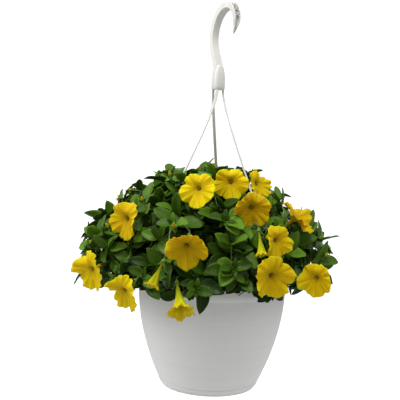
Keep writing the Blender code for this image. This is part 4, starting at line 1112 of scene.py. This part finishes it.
# side shoots branch off every stem and fill what is still open, so that the plant is dense all round: they
# aim at places spread evenly over the dome, at four depths
side_shoots = {shoot: [] for shoot in shoots}
draw = random.Random(77)
aims = []
for k in range(aim_count):
    lift = aim_low + aim_rise * (k + 0.5) / aim_count
    turn_angle = math.pi * (3 - math.sqrt(5)) * k
    level = math.sqrt(max(1 - lift * lift, 0.0))
    way = Vector((level * math.cos(turn_angle), level * math.sin(turn_angle), lift)).normalized()
    aims.append((way, aim_depths[k % 4] + draw.uniform(-0.04, 0.04)))
draw.shuffle(aims)
shoot_places = [[stem_point(shoot, i / 20) for i in range(20)] for shoot in shoots]
for way, share in aims:
    end = dome_centre + way * reach_towards(way) * share
    outside = math.hypot(end.x, end.y) > rim_radius
    if end.z < (pot_height - 0.002 if outside else soil_top + 0.03) or before_a_bloom(end):
        continue
    leaves = [leaf for shoot in shoots for leaf in grown[shoot]["leaves"]]
    if min((leaf[0] + leaf[1] * leaf[3] / 2 - end).length for leaf in leaves) < aim_air:
        continue
    roots = []
    for shoot, places in zip(shoots, shoot_places):
        for start, after in zip(places[4:], places[5:]):
            if (start - dome_centre).length < (end - dome_centre).length - 0.008:
                roots.append((shoot, start, after))
    if not roots:
        continue
    shoot, start, after = min(roots, key=lambda root: (root[1] - end).length)
    if not side_shoot_lengths[0] < (start - end).length < side_shoot_lengths[1]:
        continue
    path = side_shoot_path(start, (after - start).normalized(), end)
    body = skin(tube_rings(path[1:], [0.0011] * 8, 4))
    leaf_owners = [one + "_leaf" for one in shoots] + [shoot]
    if not is_free(taken, body, leaf_owners):
        continue
    placed = []
    spread = draw.uniform(0, 360)
    for order, i in enumerate(side_shoot_leaves):
        base = path[i] - (path[i] - path[i - 1]) * (0.25 * (order % 3))
        along = (path[i] - path[i - 1]).normalized()
        if (base - start).length < 0.008:
            continue
        size = leaf_length * draw.uniform(0.62, 0.98) * (young_leaf if order < 2 else 1.0)
        swing, arch = spread + side_leaf_turn * order, draw.uniform(0.08, 0.34)
        for leaf in ways_at(base, along, 1 if order % 2 else -1, swing, size, arch):
            if leaf_covers(leaf) or reaches_too_far(leaf) or not is_high_enough(leaf, side_leaf_drop):
                continue
            if is_free(taken, room_of_leaf(leaf, filler_air)):
                placed.append(leaf)
                claim(taken, room_of_leaf(leaf), shoot + "_leaf")
                break
    if placed:
        grown[shoot]["leaves"] += placed
        side_shoots[shoot].append(path)

# petals are ruffled and reach past their plain room, so a small leaf that would touch one is left out
petal_rooms = [room for room in taken if room[3] in all_blooms]
for shoot in shoots:
    leaves, count = grown[shoot]["leaves"], solid_leaves[shoot]
    clear = [leaf for leaf in leaves[count:] if is_free(petal_rooms, room_of_leaf(leaf, petal_air))]
    grown[shoot]["leaves"] = leaves[:count] + clear

# ---- the leafy shoots -----------------------------------------------------------------------------
# Each shoot is one living piece: a soft green stem, broad pointed leaves with a sunk midrib, flower stalks
# that end in a cup of five sepals, and a tuft of young leaves at the tip. It stands in its root hole.
blade_rib, blade_groove = 0.00034, 0.00035  # half the thickness at the midrib, and the groove on it
cup_rings = (  # rise and radius of a flower's cup, from its stalk to its edge
    (-0.0062, 0.0011), (-0.0045, 0.0020), (-0.0020, 0.0033), (0.0, 0.0036), (0.0012, 0.0034),
)
tuft_leaves, tuft_turn, tuft_air = 7, 137.5, 0.0008
bud_girth, bud_twist, bud_sides, bud_rings = 0.0031, 1.6, 15, 12
stem_pieces, node_every, node_swell = 27, 4, 1.12  # the stem swells at every fourth step


def blade_width(run, tip_sharpness=0.68):
    """Half the width of a leaf at a run along it, as a share of its widest."""
    body = math.sin(math.pi * min(run, 1.0)) ** tip_sharpness
    return body * min(1.0, (run / 0.20) ** 0.7)


def leaf_body(bunch, leaf, draw, slenderness=0.54, age_and_shade=0.5, rows=11, columns=6):
    """A closed blade that arches and curls: two skins that share their edge."""
    base, along, face, length, arch = leaf
    beside = along.cross(face)
    half = length * slenderness * draw.uniform(0.96, 1.18) / 2
    wave, phase, curl = draw.uniform(0.010, 0.030), draw.uniform(0, 6.28), draw.uniform(-0.04, 0.10)
    lean, tone = draw.uniform(-0.10, 0.10), min(max(age_and_shade + draw.uniform(-0.28, 0.28), 0.0), 1.0)
    points, markings = [base + along * (0.002 if length > 0.02 else 0.0)], [(0.0, 0.0, tone)]
    grid = {}
    for skin_side in (1, -1):
        for row in range(1, rows):
            run = (row / rows) ** 0.92
            width = max(half * blade_width(run), min(0.0009, half * 0.3))
            middle = leaf_point(leaf, run) + beside * (lean * length * run * run)
            for column in range(columns + 1):
                if skin_side < 0 and column in (0, columns):
                    grid[skin_side, row, column] = grid[1, row, column]
                    continue
                across = 2 * column / columns - 1
                lift = leaf_fold * width * abs(across) ** 1.25 + curl * width * across * across * run
                swell = math.sin(run * 11 + phase + (1.7 if across > 0 else 0))
                ripple = swell * wave * length * across * across
                rib = blade_rib * (1 - 0.7 * abs(across)) * skin_side
                groove = -blade_groove if skin_side > 0 and column * 2 == columns else 0.0
                grid[skin_side, row, column] = len(points)
                points.append(middle + beside * (width * across) + face * (lift + ripple + rib + groove))
                markings.append((across, run, tone))
    tip = len(points)
    points.append(leaf_point(leaf, 1.0) + beside * (lean * length))
    markings.append((0.0, 1.0, tone))
    faces = []
    for skin_side in (1, -1):
        for column in range(columns):
            here = [grid[skin_side, row, column] for row in range(1, rows)]
            after = [grid[skin_side, row, column + 1] for row in range(1, rows)]
            strip = [(0, after[0], here[0]), (here[-1], after[-1], tip)]
            strip += [(here[i], after[i], after[i + 1], here[i + 1]) for i in range(rows - 2)]
            faces += strip if skin_side > 0 else [face[::-1] for face in strip]
    bunch.add(points, faces, 0, markings)


def stem_body(bunch, path, radii, tone, sides=8, finish=1):
    """A round stem along a path."""
    points, faces = skin(tube_rings(path, radii, sides))
    count = len(path)
    markings = [(0.0, (i // sides) / count, tone) for i in range(len(points))]
    bunch.add(points, faces, finish, markings)


def calyx_body(bunch, low, out, beside, over, draw):
    """The cup that a bloom stands in, and its five sepals, narrow and a little spread."""
    rings = [ring_of(low + out * rise, beside, over, radius, 10) for rise, radius in cup_rings]
    points, faces = skin(rings)
    bunch.add(points, faces, 1, [(0.0, 0.5, 0.7)] * len(points))
    for k in range(5):
        side = around(beside, over, 2 * math.pi * k / 5)
        way = (out * 0.012 + side * draw.uniform(0.0048, 0.0075)).normalized()
        face = (side - way * side.dot(way)).normalized() * -1
        length, arch = draw.uniform(0.0125, 0.0150), draw.uniform(0.05, 0.22)
        sepal = (low + side * 0.0027 - out * 0.001, way, face, length, arch)
        leaf_body(bunch, sepal, draw, slenderness=0.26, age_and_shade=0.62, rows=7, columns=4)


def stalk_body(bunch, bloom, start, draw):
    """A flower stalk from its shoot to the calyx."""
    low, out, beside, over = bloom_frame(bloom)
    route, _ = stalk_route(bloom, start)
    path = [bezier(*route, i / 16) for i in range(17)]
    swells = [0.25 * (1 - i / 16) ** 4 + 0.15 * (i / 16) ** 6 for i in range(17)]  # where it joins
    stem_body(bunch, path, [stalk_radius * (1.0 + swell) for swell in swells], 0.7, sides=7)
    calyx_body(bunch, low, out, beside, over, draw)


def tuft_body(bunch, shoot, draw):
    """Young leaves crowded at a shoot's tip."""
    tip = stem_point(shoot, 1.0)
    along = (tip - stem_point(shoot, 0.96)).normalized()
    up = (tip - dome_centre).normalized()
    along = (along + up * 0.8).normalized()
    over = (up - along * up.dot(along)).normalized()
    beside = along.cross(over)
    for k in range(tuft_leaves):
        side = around(over, beside, math.radians(tuft_turn * k + draw.uniform(-15, 15)))
        way = around(along, side, math.radians(72 - 8 * k)).normalized()
        face = (along - way * along.dot(way)).normalized()
        length = (0.021 - 0.0019 * k) * draw.uniform(0.85, 1.15)
        young = (tip + along * (0.0007 * k - 0.003), way, face, length, draw.uniform(0.05, 0.30))
        if is_free(taken, room_of_leaf(young, tuft_air), (shoot, shoot + "_leaf", shoot + "_stalk")):
            leaf_body(bunch, young, draw, slenderness=0.44, age_and_shade=0.80, rows=8, columns=4)


# the buds that stand among the leaves: shoot, azimuth, radius and height (mm) of the tip, and length (mm)
buds = (
    ("mid_left", -77, 152, 350, 15), ("mid_left", -49, 160, 343, 13), ("mid_front_left", -19, 196, 311, 16),
    ("mid_left", -60, 206, 294, 13), ("low_left", -66, 226, 262, 17), ("top_left", -48, 104, 386, 14),
    ("low_right", 70, 204, 256, 13), ("mid_right_side", 84, 158, 326, 14), ("mid_back", 178, 176, 336, 15),
    ("low_back_4", 206, 226, 244, 15), ("mid_back_left", 258, 180, 330, 14), ("top_right", 132, 88, 388, 13),
)


def bud_body(bunch, bud, draw):
    """A pointed bud, rolled round itself, with its own short stalk and sepals."""
    shoot, azimuth, radius, height, length = bud
    length /= 1000
    tip = place(azimuth, radius / 1000 + 0.006, height / 1000 + 0.004)
    out = ((tip - dome_centre).normalized() + Vector((0.0, 0.0, 0.7))).normalized()
    low = tip - out * length
    stem = [stem_point(shoot, i / 40) for i in range(12, 41)]
    root = min(stem, key=lambda point: (point - low).length)
    beside = out.cross(Vector((0.3, 0.9, 0.1))).normalized()
    over = beside.cross(out)
    end = low - out * cup_depth
    span = (end - root).length
    leave_at, arrive_at = root.lerp(end, 0.3) + Vector((0, 0, span * 0.15)), end - out * span * 0.35
    path = [bezier(root, leave_at, arrive_at, end, i / 9) for i in range(10)]
    stem_body(bunch, path, [0.0009] * 10, 0.75, sides=6)
    calyx_body(bunch, low, out, beside, over, draw)
    rings = []
    for i in range(bud_rings):
        run = i / (bud_rings - 1)
        bulge = math.sin(math.pi * min(0.08 + run * 0.90, 0.985)) ** 0.8
        girth = bud_girth * bulge * (1 - 0.25 * run)
        ring = []
        for k in range(bud_sides):
            a = 2 * math.pi * k / bud_sides + run * bud_twist
            fold = 1 + 0.13 * math.cos(5 * (a - run * bud_twist))
            ring.append(low + out * (length * run) + around(beside, over, a) * girth * fold)
        rings.append(ring)
    points, faces = skin(rings)
    shares = [i // bud_sides / (bud_rings - 1) for i in range(len(points))]
    bunch.add(points, faces, 2, [(0.45 + 0.35 * share, 0.0, 0.8) for share in shares])


# living tissue is mottled, and its skin is finely pebbled
tissue, tissue_in, tissue_out = new_group(
    "living tissue",
    [("Patch", "NodeSocketFloat", 60.0), ("Cell", "NodeSocketFloat", 1600.0)],
    [("Mottle", "NodeSocketFloat"), ("Height", "NodeSocketFloat")],
)
spot = add_node(tissue, "ShaderNodeTexCoord").outputs["Object"]
patch_inputs = {"Vector": spot, "Scale": tissue_in["Patch"], "Detail": 3.0}
patches = add_node(tissue, "ShaderNodeTexNoise", patch_inputs)
cell_inputs = {"Vector": spot, "Scale": tissue_in["Cell"]}
cells = add_node(tissue, "ShaderNodeTexVoronoi", cell_inputs, feature="SMOOTH_F1")
tissue.links.new(patches.outputs["Fac"], tissue_out["Mottle"])
tissue.links.new(cells.outputs["Distance"], tissue_out["Height"])


def markings_of(tree):
    """The three markings that the mesh carries."""
    marks = add_node(tree, "ShaderNodeAttribute", {}, attribute_name="markings").outputs["Vector"]
    return add_node(tree, "ShaderNodeSeparateXYZ", {0: marks}).outputs


def tissue_of(tree, patch, cell):
    """The mottle and the height of living tissue, with this many patches and cells a metre."""
    sizes = {"Patch": patch, "Cell": cell}
    group = tree.nodes.new("ShaderNodeGroup")
    group.node_tree = tissue
    for key, value in sizes.items():
        group.inputs[key].default_value = value
    return group.outputs["Mottle"], group.outputs["Height"]


def leaf_finish():
    """Green with a paler midrib and side veins, paler on young leaves, darker deep in the dome partly with
    age and partly as painted shade, and darker still low by the rim, which is painted shade.
    """
    material, tree, shader = new_finish("leaf skin", 0.42, specular_ior_level=0.15)
    across, run, tone = markings_of(tree)
    mottle, cell_height = tissue_of(tree, 70.0, 1500.0)
    side = maths(tree, "ABSOLUTE", across)
    rib = maths(tree, "SUBTRACT", 1.0, maths(tree, "MULTIPLY", side, 14.0))
    rib = maths(tree, "MAXIMUM", rib, 0.0)
    slant = maths(tree, "SUBTRACT", run, maths(tree, "MULTIPLY", side, 0.16))
    veins = maths(tree, "SINE", maths(tree, "MULTIPLY", slant, 46.0))
    veins = maths(tree, "POWER", maths(tree, "MULTIPLY_ADD", veins, 0.5, 0.5), 9.0)
    veins = maths(tree, "MULTIPLY", veins, maths(tree, "SUBTRACT", 1.0, side))
    veins = maths(tree, "MAXIMUM", rib, maths(tree, "MULTIPLY", veins, 0.55))
    # the tone marking is each leaf's age together with painted shade: darker deep in the dome and low by the
    # rim
    age_and_shade = maths(tree, "MULTIPLY_ADD", mottle, 0.16, maths(tree, "POWER", tone, 2.0))
    green = tint(tree, age_and_shade, (0.003, 0.018, 0.0010), (0.104, 0.222, 0.010))
    green = tint(tree, maths(tree, "MULTIPLY", veins, 0.22), green, (0.12, 0.23, 0.030))
    tree.links.new(green, shader.inputs["Base Color"])
    tree.links.new(maths(tree, "MULTIPLY_ADD", mottle, 0.22, 0.26), shader.inputs["Roughness"])
    relief = maths(tree, "MULTIPLY_ADD", cell_height, 0.25, maths(tree, "MULTIPLY", veins, -1.0))
    add_relief(tree, shader, relief, 0.45, 0.0004)
    return material


def stem_finish():
    """Paler, juicier green than the leaves, with a fine down."""
    material, tree, shader = new_finish(
        "stem skin", 0.5, specular_ior_level=0.3, sheen_weight=0.08, sheen_roughness=0.5
    )
    tone = markings_of(tree)[2]
    mottle, cell_height = tissue_of(tree, 110.0, 2200.0)
    share = maths(tree, "MULTIPLY", tone, maths(tree, "MULTIPLY_ADD", mottle, 0.8, 0.5))
    green = tint(tree, share, (0.035, 0.085, 0.010), (0.150, 0.260, 0.030))
    tree.links.new(green, shader.inputs["Base Color"])
    add_relief(tree, shader, cell_height, 0.3, 0.0003)
    return material


def petal_finish(name, colours, vein_reach, roughness):
    """A colour that runs from the tube to the margin, darkest in the throat partly by the flower's own
    colour and partly as painted shade, with fine veins that fan out from the throat.
    """
    material, tree, shader = new_finish(
        name, roughness, specular_ior_level=0.06, subsurface_weight=0.35, subsurface_scale=0.0035
    )
    deep, body, edge, vein = colours
    first, second, tone = markings_of(tree)
    squares = [maths(tree, "MULTIPLY", value, value) for value in (first, second)]
    reach = maths(tree, "SQRT", maths(tree, "ADD", *squares))
    angle = maths(tree, "ARCTAN2", second, first)
    mottle, cell_height = tissue_of(tree, 55.0, 2600.0)
    wander = maths(tree, "MULTIPLY_ADD", mottle, 2.2, maths(tree, "MULTIPLY", angle, 30.0))
    fine = maths(tree, "MULTIPLY_ADD", maths(tree, "SINE", wander), 0.5, 0.5)
    fine = maths(tree, "POWER", fine, 5.0)
    main = maths(tree, "COSINE", maths(tree, "MULTIPLY", angle, 5.0))
    main = maths(tree, "POWER", maths(tree, "MULTIPLY_ADD", main, 0.5, 0.5), 60.0)
    veins = maths(tree, "MAXIMUM", maths(tree, "MULTIPLY", fine, 0.6), main)
    fade = maths(tree, "MULTIPLY", maths(tree, "SUBTRACT", vein_reach, reach), 1.6)
    fade = maths(tree, "MINIMUM", maths(tree, "MAXIMUM", fade, 0.06), 0.85)
    # towards the throat the colour darkens, partly the flower's own and partly painted shade deep in the
    # funnel
    ramp = add_node(tree, "ShaderNodeValToRGB", {0: reach})
    ramp.color_ramp.elements[0].position, ramp.color_ramp.elements[0].color = 0.28, (*deep, 1.0)
    ramp.color_ramp.elements[1].position = 1.0
    ramp.color_ramp.elements[1].color = (*(min(c * 1.18 + 0.004, 0.85) for c in edge), 1.0)
    ramp.color_ramp.elements.new(0.66).color = (*body, 1.0)
    ramp.color_ramp.elements.new(0.93).color = (*edge, 1.0)
    colour = tint(tree, maths(tree, "MULTIPLY", veins, fade), ramp.outputs[0], vein)
    shade = maths(tree, "MULTIPLY_ADD", tone, 0.24, 0.78)
    shade = maths(tree, "MULTIPLY_ADD", mottle, 0.16, shade)
    greener = maths(tree, "MULTIPLY", shade, maths(tree, "MULTIPLY_ADD", tone, 0.14, 0.90))
    pale = add_node(tree, "ShaderNodeCombineXYZ", {0: shade, 1: greener, 2: shade}).outputs[0]
    tree.links.new(tint(tree, 1.0, colour, pale, "MULTIPLY"), shader.inputs["Base Color"])
    relief = maths(tree, "MULTIPLY_ADD", cell_height, 0.15, maths(tree, "MULTIPLY", veins, -0.8))
    add_relief(tree, shader, relief, 0.5, 0.0004)
    return material


leaf_skin, stem_skin = leaf_finish(), stem_finish()
# colours of the throat (its own darker colour deepened with painted shade), of the petal, of its margin and
# of its veins
yellows = ((0.27, 0.18, 0.002), (0.61, 0.435, 0.001), (0.69, 0.525, 0.003), (0.32, 0.18, 0.001))
lemons = ((0.20, 0.31, 0.012), (0.52, 0.52, 0.004), (0.52, 0.43, 0.004), (0.20, 0.19, 0.004))
yellow_petal = petal_finish("yellow petal", yellows, 1.00, 0.62)
lemon_petal = petal_finish("lemon petal", lemons, 1.10, 0.55)
for number, shoot in enumerate(shoots):
    draw = random.Random(9000 + number)
    bunch = Bunch()
    path = [stem_point(shoot, i / (stem_pieces - 1)) for i in range(stem_pieces)]
    path = [path[0] - Vector((0.0, 0.0, 0.010))] + path
    radii = []
    for i in range(len(path)):
        taper = stem_foot_radius + (stem_tip_radius - stem_foot_radius) * i / len(path)
        radii.append(taper * (node_swell if i % node_every == 0 else 1.0))
    stem_body(bunch, path, radii, 0.55)
    for leaf in grown[shoot]["leaves"]:  # the outer leaves are young and pale; deeper in the dome they darken partly with age and partly as painted shade, and low by the rim further still, as painted shade
        middle = leaf[0] + leaf[1] * leaf[3] / 2 - dome_centre
        depth_share = middle.length / reach_towards(middle.normalized())
        # painted shade: leaves low by the rim are darkened as if in the dome's own shade
        painted_shade_low = min(max((0.245 - middle.z - dome_centre.z) / 0.045, 0.0), 1.0)
        age_and_shade = min(max(1.9 * depth_share - 1.15 - 0.55 * painted_shade_low, 0.0), 0.75)
        leaf_body(bunch, leaf, draw, age_and_shade=age_and_shade)
    for path in side_shoots[shoot]:
        stem_body(bunch, path, [0.0012 - 0.0004 * i / 8 for i in range(9)], 0.65, sides=6)
    for name, start in grown[shoot]["stalks"]:
        stalk_body(bunch, all_blooms[name], start, draw)
    tuft_body(bunch, shoot, draw)
    for bud in buds:
        if bud[0] == shoot:
            bud_body(bunch, bud, draw)
    item = bunch.make("leafy_" + shoot, [leaf_skin, stem_skin, lemon_petal])
    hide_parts("shoot_" + shoot)

# ---- the blooms -----------------------------------------------------------------------------------
# Each bloom is one thin funnel of five petals grown together, with a scalloped, ruffled margin and a throat
# that holds the stamens, darker by its own colour and by painted shade. The half-open trumpets are the same
# flower, still folded and greenish.
petal_turn = 4  # margin points in one petal
front_lip = 0.26  # the topmost petal of the front bloom curls in this far
fold_width = 0.16  # of the fold between two petals, as a share of half a petal


def smooth(a, b, c, d, t):
    """A smooth value between b and c, for a share t, with one neighbour on each side."""
    return 0.5 * (2 * b + (c - a) * t + (2 * a - 5 * b + 4 * c - d) * t**2 + (3 * b - a - 3 * c + d) * t**3)


def follow(stops, share):
    """A smooth way through evenly spaced stops, for a share from 0 to 1."""
    place_on = share * (len(stops) - 1)
    i = min(int(place_on), len(stops) - 2)
    before, after = stops[max(i - 1, 0)], stops[min(i + 2, len(stops) - 1)]
    return smooth(before, stops[i], stops[i + 1], after, place_on - i)


def round_margin(values, turn):
    """A smooth value round the margin, from its points: turn runs from 0 to their number."""
    i = int(math.floor(turn))
    return smooth(*(values[(i + k) % len(values)] for k in (-1, 0, 1, 2)), turn - i)


def funnel_body(bunch, name, bloom, seed, sides=100, outer_steps=20, inner_steps=16):
    """The outer skin from its base to the margin, and the inner skin back down into the throat."""
    low, out, beside, over = bloom_frame(bloom)
    trumpet, depth, limb = bloom_size(bloom)
    roll, margin = margin_of(bloom, seed)
    draw = random.Random(700 + seed)
    tone, frill = draw.random(), draw.uniform(0.014, 0.030)
    phases = [draw.uniform(0, 6.28) for _ in range(4)]
    pointed, curl = draw.uniform(0.03, 0.11), draw.uniform(0.10, 0.50)
    curl *= max(out.z < 0.4, 0.3)
    lip = front_lip if name == "bloom_front" else draw.uniform(0.0, 0.10)
    reaches, lifts = [point[0] for point in margin], [point[1] for point in margin]
    bowl = limb * (trumpet_bowl if trumpet else bloom_bowl)
    neck = limb * trumpet_neck if trumpet else bloom_neck + 0.0005
    throat = depth * (trumpet_throat if trumpet else bloom_throat)
    bowl_rise = depth * (trumpet_bowl_depth if trumpet else bloom_bowl_depth)
    points, markings, rings = [], [], []

    def ring(share, inside):
        ring_start = len(points)
        for k in range(sides):
            turn = margin_points * k / sides
            a = 2 * math.pi * (turn - 2) / margin_points
            reach, rise = round_margin(reaches, turn), round_margin(lifts, turn)
            off_middle = abs(turn % petal_turn - petal_turn / 2) / 2
            fold = math.exp(-(((1 - off_middle) / fold_width) ** 2))
            if not trumpet:
                petal = 1.0 - pointed * off_middle**1.6 - 0.07 * fold
                reach = 0.5 * reach + 0.5 * limb * petal
                swell = 0.6 + 0.4 * math.sin(3 * a + phases[1])
                reach += limb * frill * math.sin(23 * a + phases[0]) * swell
                rise += limb * frill * 2.6 * math.sin(14 * a + phases[2])
                rise += limb * 0.02 * math.sin(31 * a + phases[3])
                rise += limb * (0.12 * math.sin(2 * a + phases[1]) + 0.08 * math.sin(3 * a + phases[0]))
                upward = around(beside, over, a + roll).z
                rise -= limb * curl * max(upward, 0.0) ** 1.5
                reach -= limb * (curl * 0.30 + lip) * max(upward, 0.0) ** 1.5
                reach += limb * 0.10 * max(-upward, 0.0)
            else:
                reach = 0.4 * reach + 0.6 * limb * (0.96 - 0.14 * off_middle**1.6)
                rise += limb * 0.10 * off_middle**2
                reach += limb * 0.05 * math.sin(13 * a + phases[0])
                rise += limb * 0.10 * math.sin(9 * a + phases[1])
                rise += limb * 0.05 * math.sin(22 * a + phases[2])
            pleat = 1 + (0.13 if trumpet else 0.055) * math.cos(5 * a)
            middle, halfway = (bowl + reach) * (0.47 if trumpet else 0.52), (bowl_rise + rise) * 0.5
            if trumpet:
                outside = [0.0020, neck * 0.44, neck * 0.80 * pleat, bowl * 0.84 * pleat, middle, reach]
                within = [0.0, neck * 0.30, neck * 0.62 * pleat, (bowl * 0.84 - 0.0009) * pleat]
                within += [middle - 0.0004, reach]
                lows = [throat, depth * 0.46, depth * 0.64, bowl_rise + 0.0011, halfway + 0.0010, rise]
            else:
                outside = [0.0020, 0.0030, neck, bowl * pleat, middle, reach]
                within = [0.0, 0.0022, bowl * 0.30, (bowl - 0.0005) * pleat, middle, reach]
                lows = [throat, depth * 0.52, depth * 0.70, bowl_rise + 0.0011, halfway + 0.0012, rise]
            rises = [0.0003, depth * 0.30, depth * 0.56, bowl_rise, halfway, rise]
            radius = follow(within if inside else outside, share)
            height = follow(lows if inside else rises, share)
            spread = math.sin(math.pi / 2 * min(max((share - 0.45) / 0.55, 0.0), 1.0)) ** 2
            height += limb * spread * (0.035 * math.cos(5 * a) - 0.080 * fold + 0.018 * math.cos(10 * a))
            angle = a + roll + (0.5 * share if trumpet else 0.0)
            points.append(low + out * height + around(beside, over, angle) * max(radius, 0.0002))
            if trumpet:
                mark = 1.25 - 0.2 * share if inside else 0.30 + 0.66 * share
            else:
                mark = 0.10 + 0.90 * share if inside else 0.34 + 0.66 * share
            markings.append((mark * math.cos(a), mark * math.sin(a), tone))
        return list(range(ring_start, ring_start + sides))

    for i in range(outer_steps + 1):
        rings.append(ring(i / outer_steps, False))
    for i in range(inner_steps - 1, -1, -1):
        rings.append(ring(i / inner_steps, True))
    faces = []
    for near, far in zip(rings, rings[1:]):
        faces += [(near[k - 1], near[k], far[k], far[k - 1]) for k in (*range(1, sides), 0)]
    faces += [tuple(reversed(rings[0])), tuple(rings[-1])]
    bunch.add(points, faces, 0, markings)


def stamens_body(bunch, bloom, draw):
    """Five short stamens and a knobbed pistil that stand in the throat."""
    low, out, beside, over = bloom_frame(bloom)
    depth = bloom_size(bloom)[1]
    for k in range(6):  # the sixth is the pistil, in the middle
        a = 2 * math.pi * k / 5 + draw.uniform(-0.2, 0.2)
        side = around(beside, over, a) * (0.0 if k == 5 else 0.0016)
        top = depth * (0.74 if k == 5 else draw.uniform(0.62, 0.70))
        foot_at, head = low + out * depth * 0.41 + side * 0.3, low + out * top + side
        path = [foot_at.lerp(head, i / 3) for i in range(4)]
        path += [head + out * 0.0004, head + out * 0.0011, head + out * 0.0017]
        thick = 0.00095 if k == 5 else 0.00075
        radii = [0.00028] * 4 + [thick, thick, thick * 0.4]
        points, faces = skin(tube_rings(path, radii, 8))
        bunch.add(points, faces, 1, [(0.55, 0.0, 0.7)] * len(points))


dusts = ((0.24, 0.18, 0.010), (0.34, 0.25, 0.015), (0.38, 0.28, 0.020), (0.20, 0.14, 0.010))
pollen = petal_finish("pollen", dusts, 0.3, 0.8)
for number, (name, bloom) in enumerate(all_blooms.items()):
    bunch = Bunch()
    funnel_body(bunch, name, bloom, number)
    stamens_body(bunch, bloom, random.Random(400 + number))
    half_open = name in trumpets
    item = bunch.make("petals_of_" + name, [lemon_petal if half_open else yellow_petal, pollen])
    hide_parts(name)

# ---- the studio -----------------------------------------------------------------------------------
# The basket hangs in a plain pale studio, well clear of a matt white floor, under large soft lamps. The
# camera stands in front, a little over the rim, and looks slightly down.
backdrop_white = (0.72, 0.72, 0.72)
soft_light, seen_light = 0.47, 1.1  # the air's light on the basket, and as the camera sees it
floor_drop, floor_reach, floor_sides = 0.60, 40.0, 64
lamp_target = pot_foot + Vector((0.0, 0.0, 0.25))


def floor_finish():
    """Matt white paint with the faintest mottling."""
    material, tree, shader = new_finish("studio floor", 0.9, specular_ior_level=0.1)
    spot = add_node(tree, "ShaderNodeTexCoord").outputs["Object"]
    mottle = add_node(tree, "ShaderNodeTexNoise", {"Vector": spot, "Scale": 3.0})
    pale = tint(tree, mottle.outputs["Fac"], [c * 0.99 for c in backdrop_white], backdrop_white)
    tree.links.new(pale, shader.inputs["Base Color"])
    shader.inputs["Emission Color"].default_value = (1.0, 1.0, 1.0, 1.0)
    seen = add_node(tree, "ShaderNodeLightPath").outputs["Is Camera Ray"]
    tree.links.new(maths(tree, "MULTIPLY", seen, 0.9), shader.inputs["Emission Strength"])
    return material


floor_mesh = bpy.data.meshes.new("studio_floor")
floor_ring = rings_round([(floor_reach, -floor_drop)], floor_sides)[0]
floor_points = [tuple(pot_foot + point) for point in floor_ring]
floor_mesh.from_pydata(floor_points, [], [tuple(range(floor_sides - 1, -1, -1))])
floor_mesh.materials.append(floor_finish())
studio_floor = bpy.data.objects.new("studio_floor", floor_mesh)
bpy.context.scene.collection.objects.link(studio_floor)

world = bpy.data.worlds.new("studio air")
world.use_nodes = True
bpy.context.scene.world = world
bpy.context.scene.view_settings.view_transform = "Standard"
air = world.node_tree.nodes["Background"]
seen = add_node(world.node_tree, "ShaderNodeLightPath").outputs["Is Camera Ray"]
air.inputs["Color"].default_value = (1.0, 1.0, 1.0, 1.0)
strength = maths(world.node_tree, "MULTIPLY_ADD", seen, seen_light - soft_light, soft_light)
world.node_tree.links.new(strength, air.inputs["Strength"])


def soft_lamp(name, azimuth, elevation, distance, size, power):
    """A large square lamp that looks at the middle of the plant."""
    lamp = bpy.data.lights.new(name, "AREA")
    lamp.shape, lamp.size, lamp.energy = "SQUARE", size, power
    item = bpy.data.objects.new(name, lamp)
    bpy.context.scene.collection.objects.link(item)
    item.location = lamp_target + facing(azimuth, elevation) * distance
    item.rotation_euler = facing(azimuth, elevation).to_track_quat("Z", "Y").to_euler()


soft_lamp("key_lamp", -82, 30, 2.2, 1.1, 23.0)
soft_lamp("top_lamp", -15, 66, 2.0, 0.8, 28.0)
soft_lamp("fill_lamp", 98, 25, 2.4, 1.4, 11.0)
soft_lamp("back_lamp", 180, 35, 2.6, 1.6, 10.0)

camera_distance, camera_height, camera_lens = 1.5, 0.475, 75.33
pitch, roll, yaw = math.radians(5.36), math.radians(2.5), math.radians(-1.09)
right = Vector((math.cos(yaw), -math.sin(yaw), 0.0))
ahead = Vector((math.sin(yaw) * math.cos(pitch), math.cos(yaw) * math.cos(pitch), -math.sin(pitch)))
above = Vector((math.sin(yaw) * math.sin(pitch), math.cos(yaw) * math.sin(pitch), math.cos(pitch)))
axis_x = right * math.cos(roll) + above * math.sin(roll)
axis_y = above * math.cos(roll) - right * math.sin(roll)
lens = bpy.data.cameras.new("studio_camera")
lens.sensor_width = 36.0
lens.lens = camera_lens
camera = bpy.data.objects.new("studio_camera", lens)
bpy.context.scene.collection.objects.link(camera)
turn = Matrix((axis_x, axis_y, -ahead)).transposed()
stand = pot_foot + Vector((0.0, -camera_distance, camera_height))
camera.matrix_world = Matrix.Translation(stand) @ turn.to_4x4()
bpy.context.scene.camera = camera
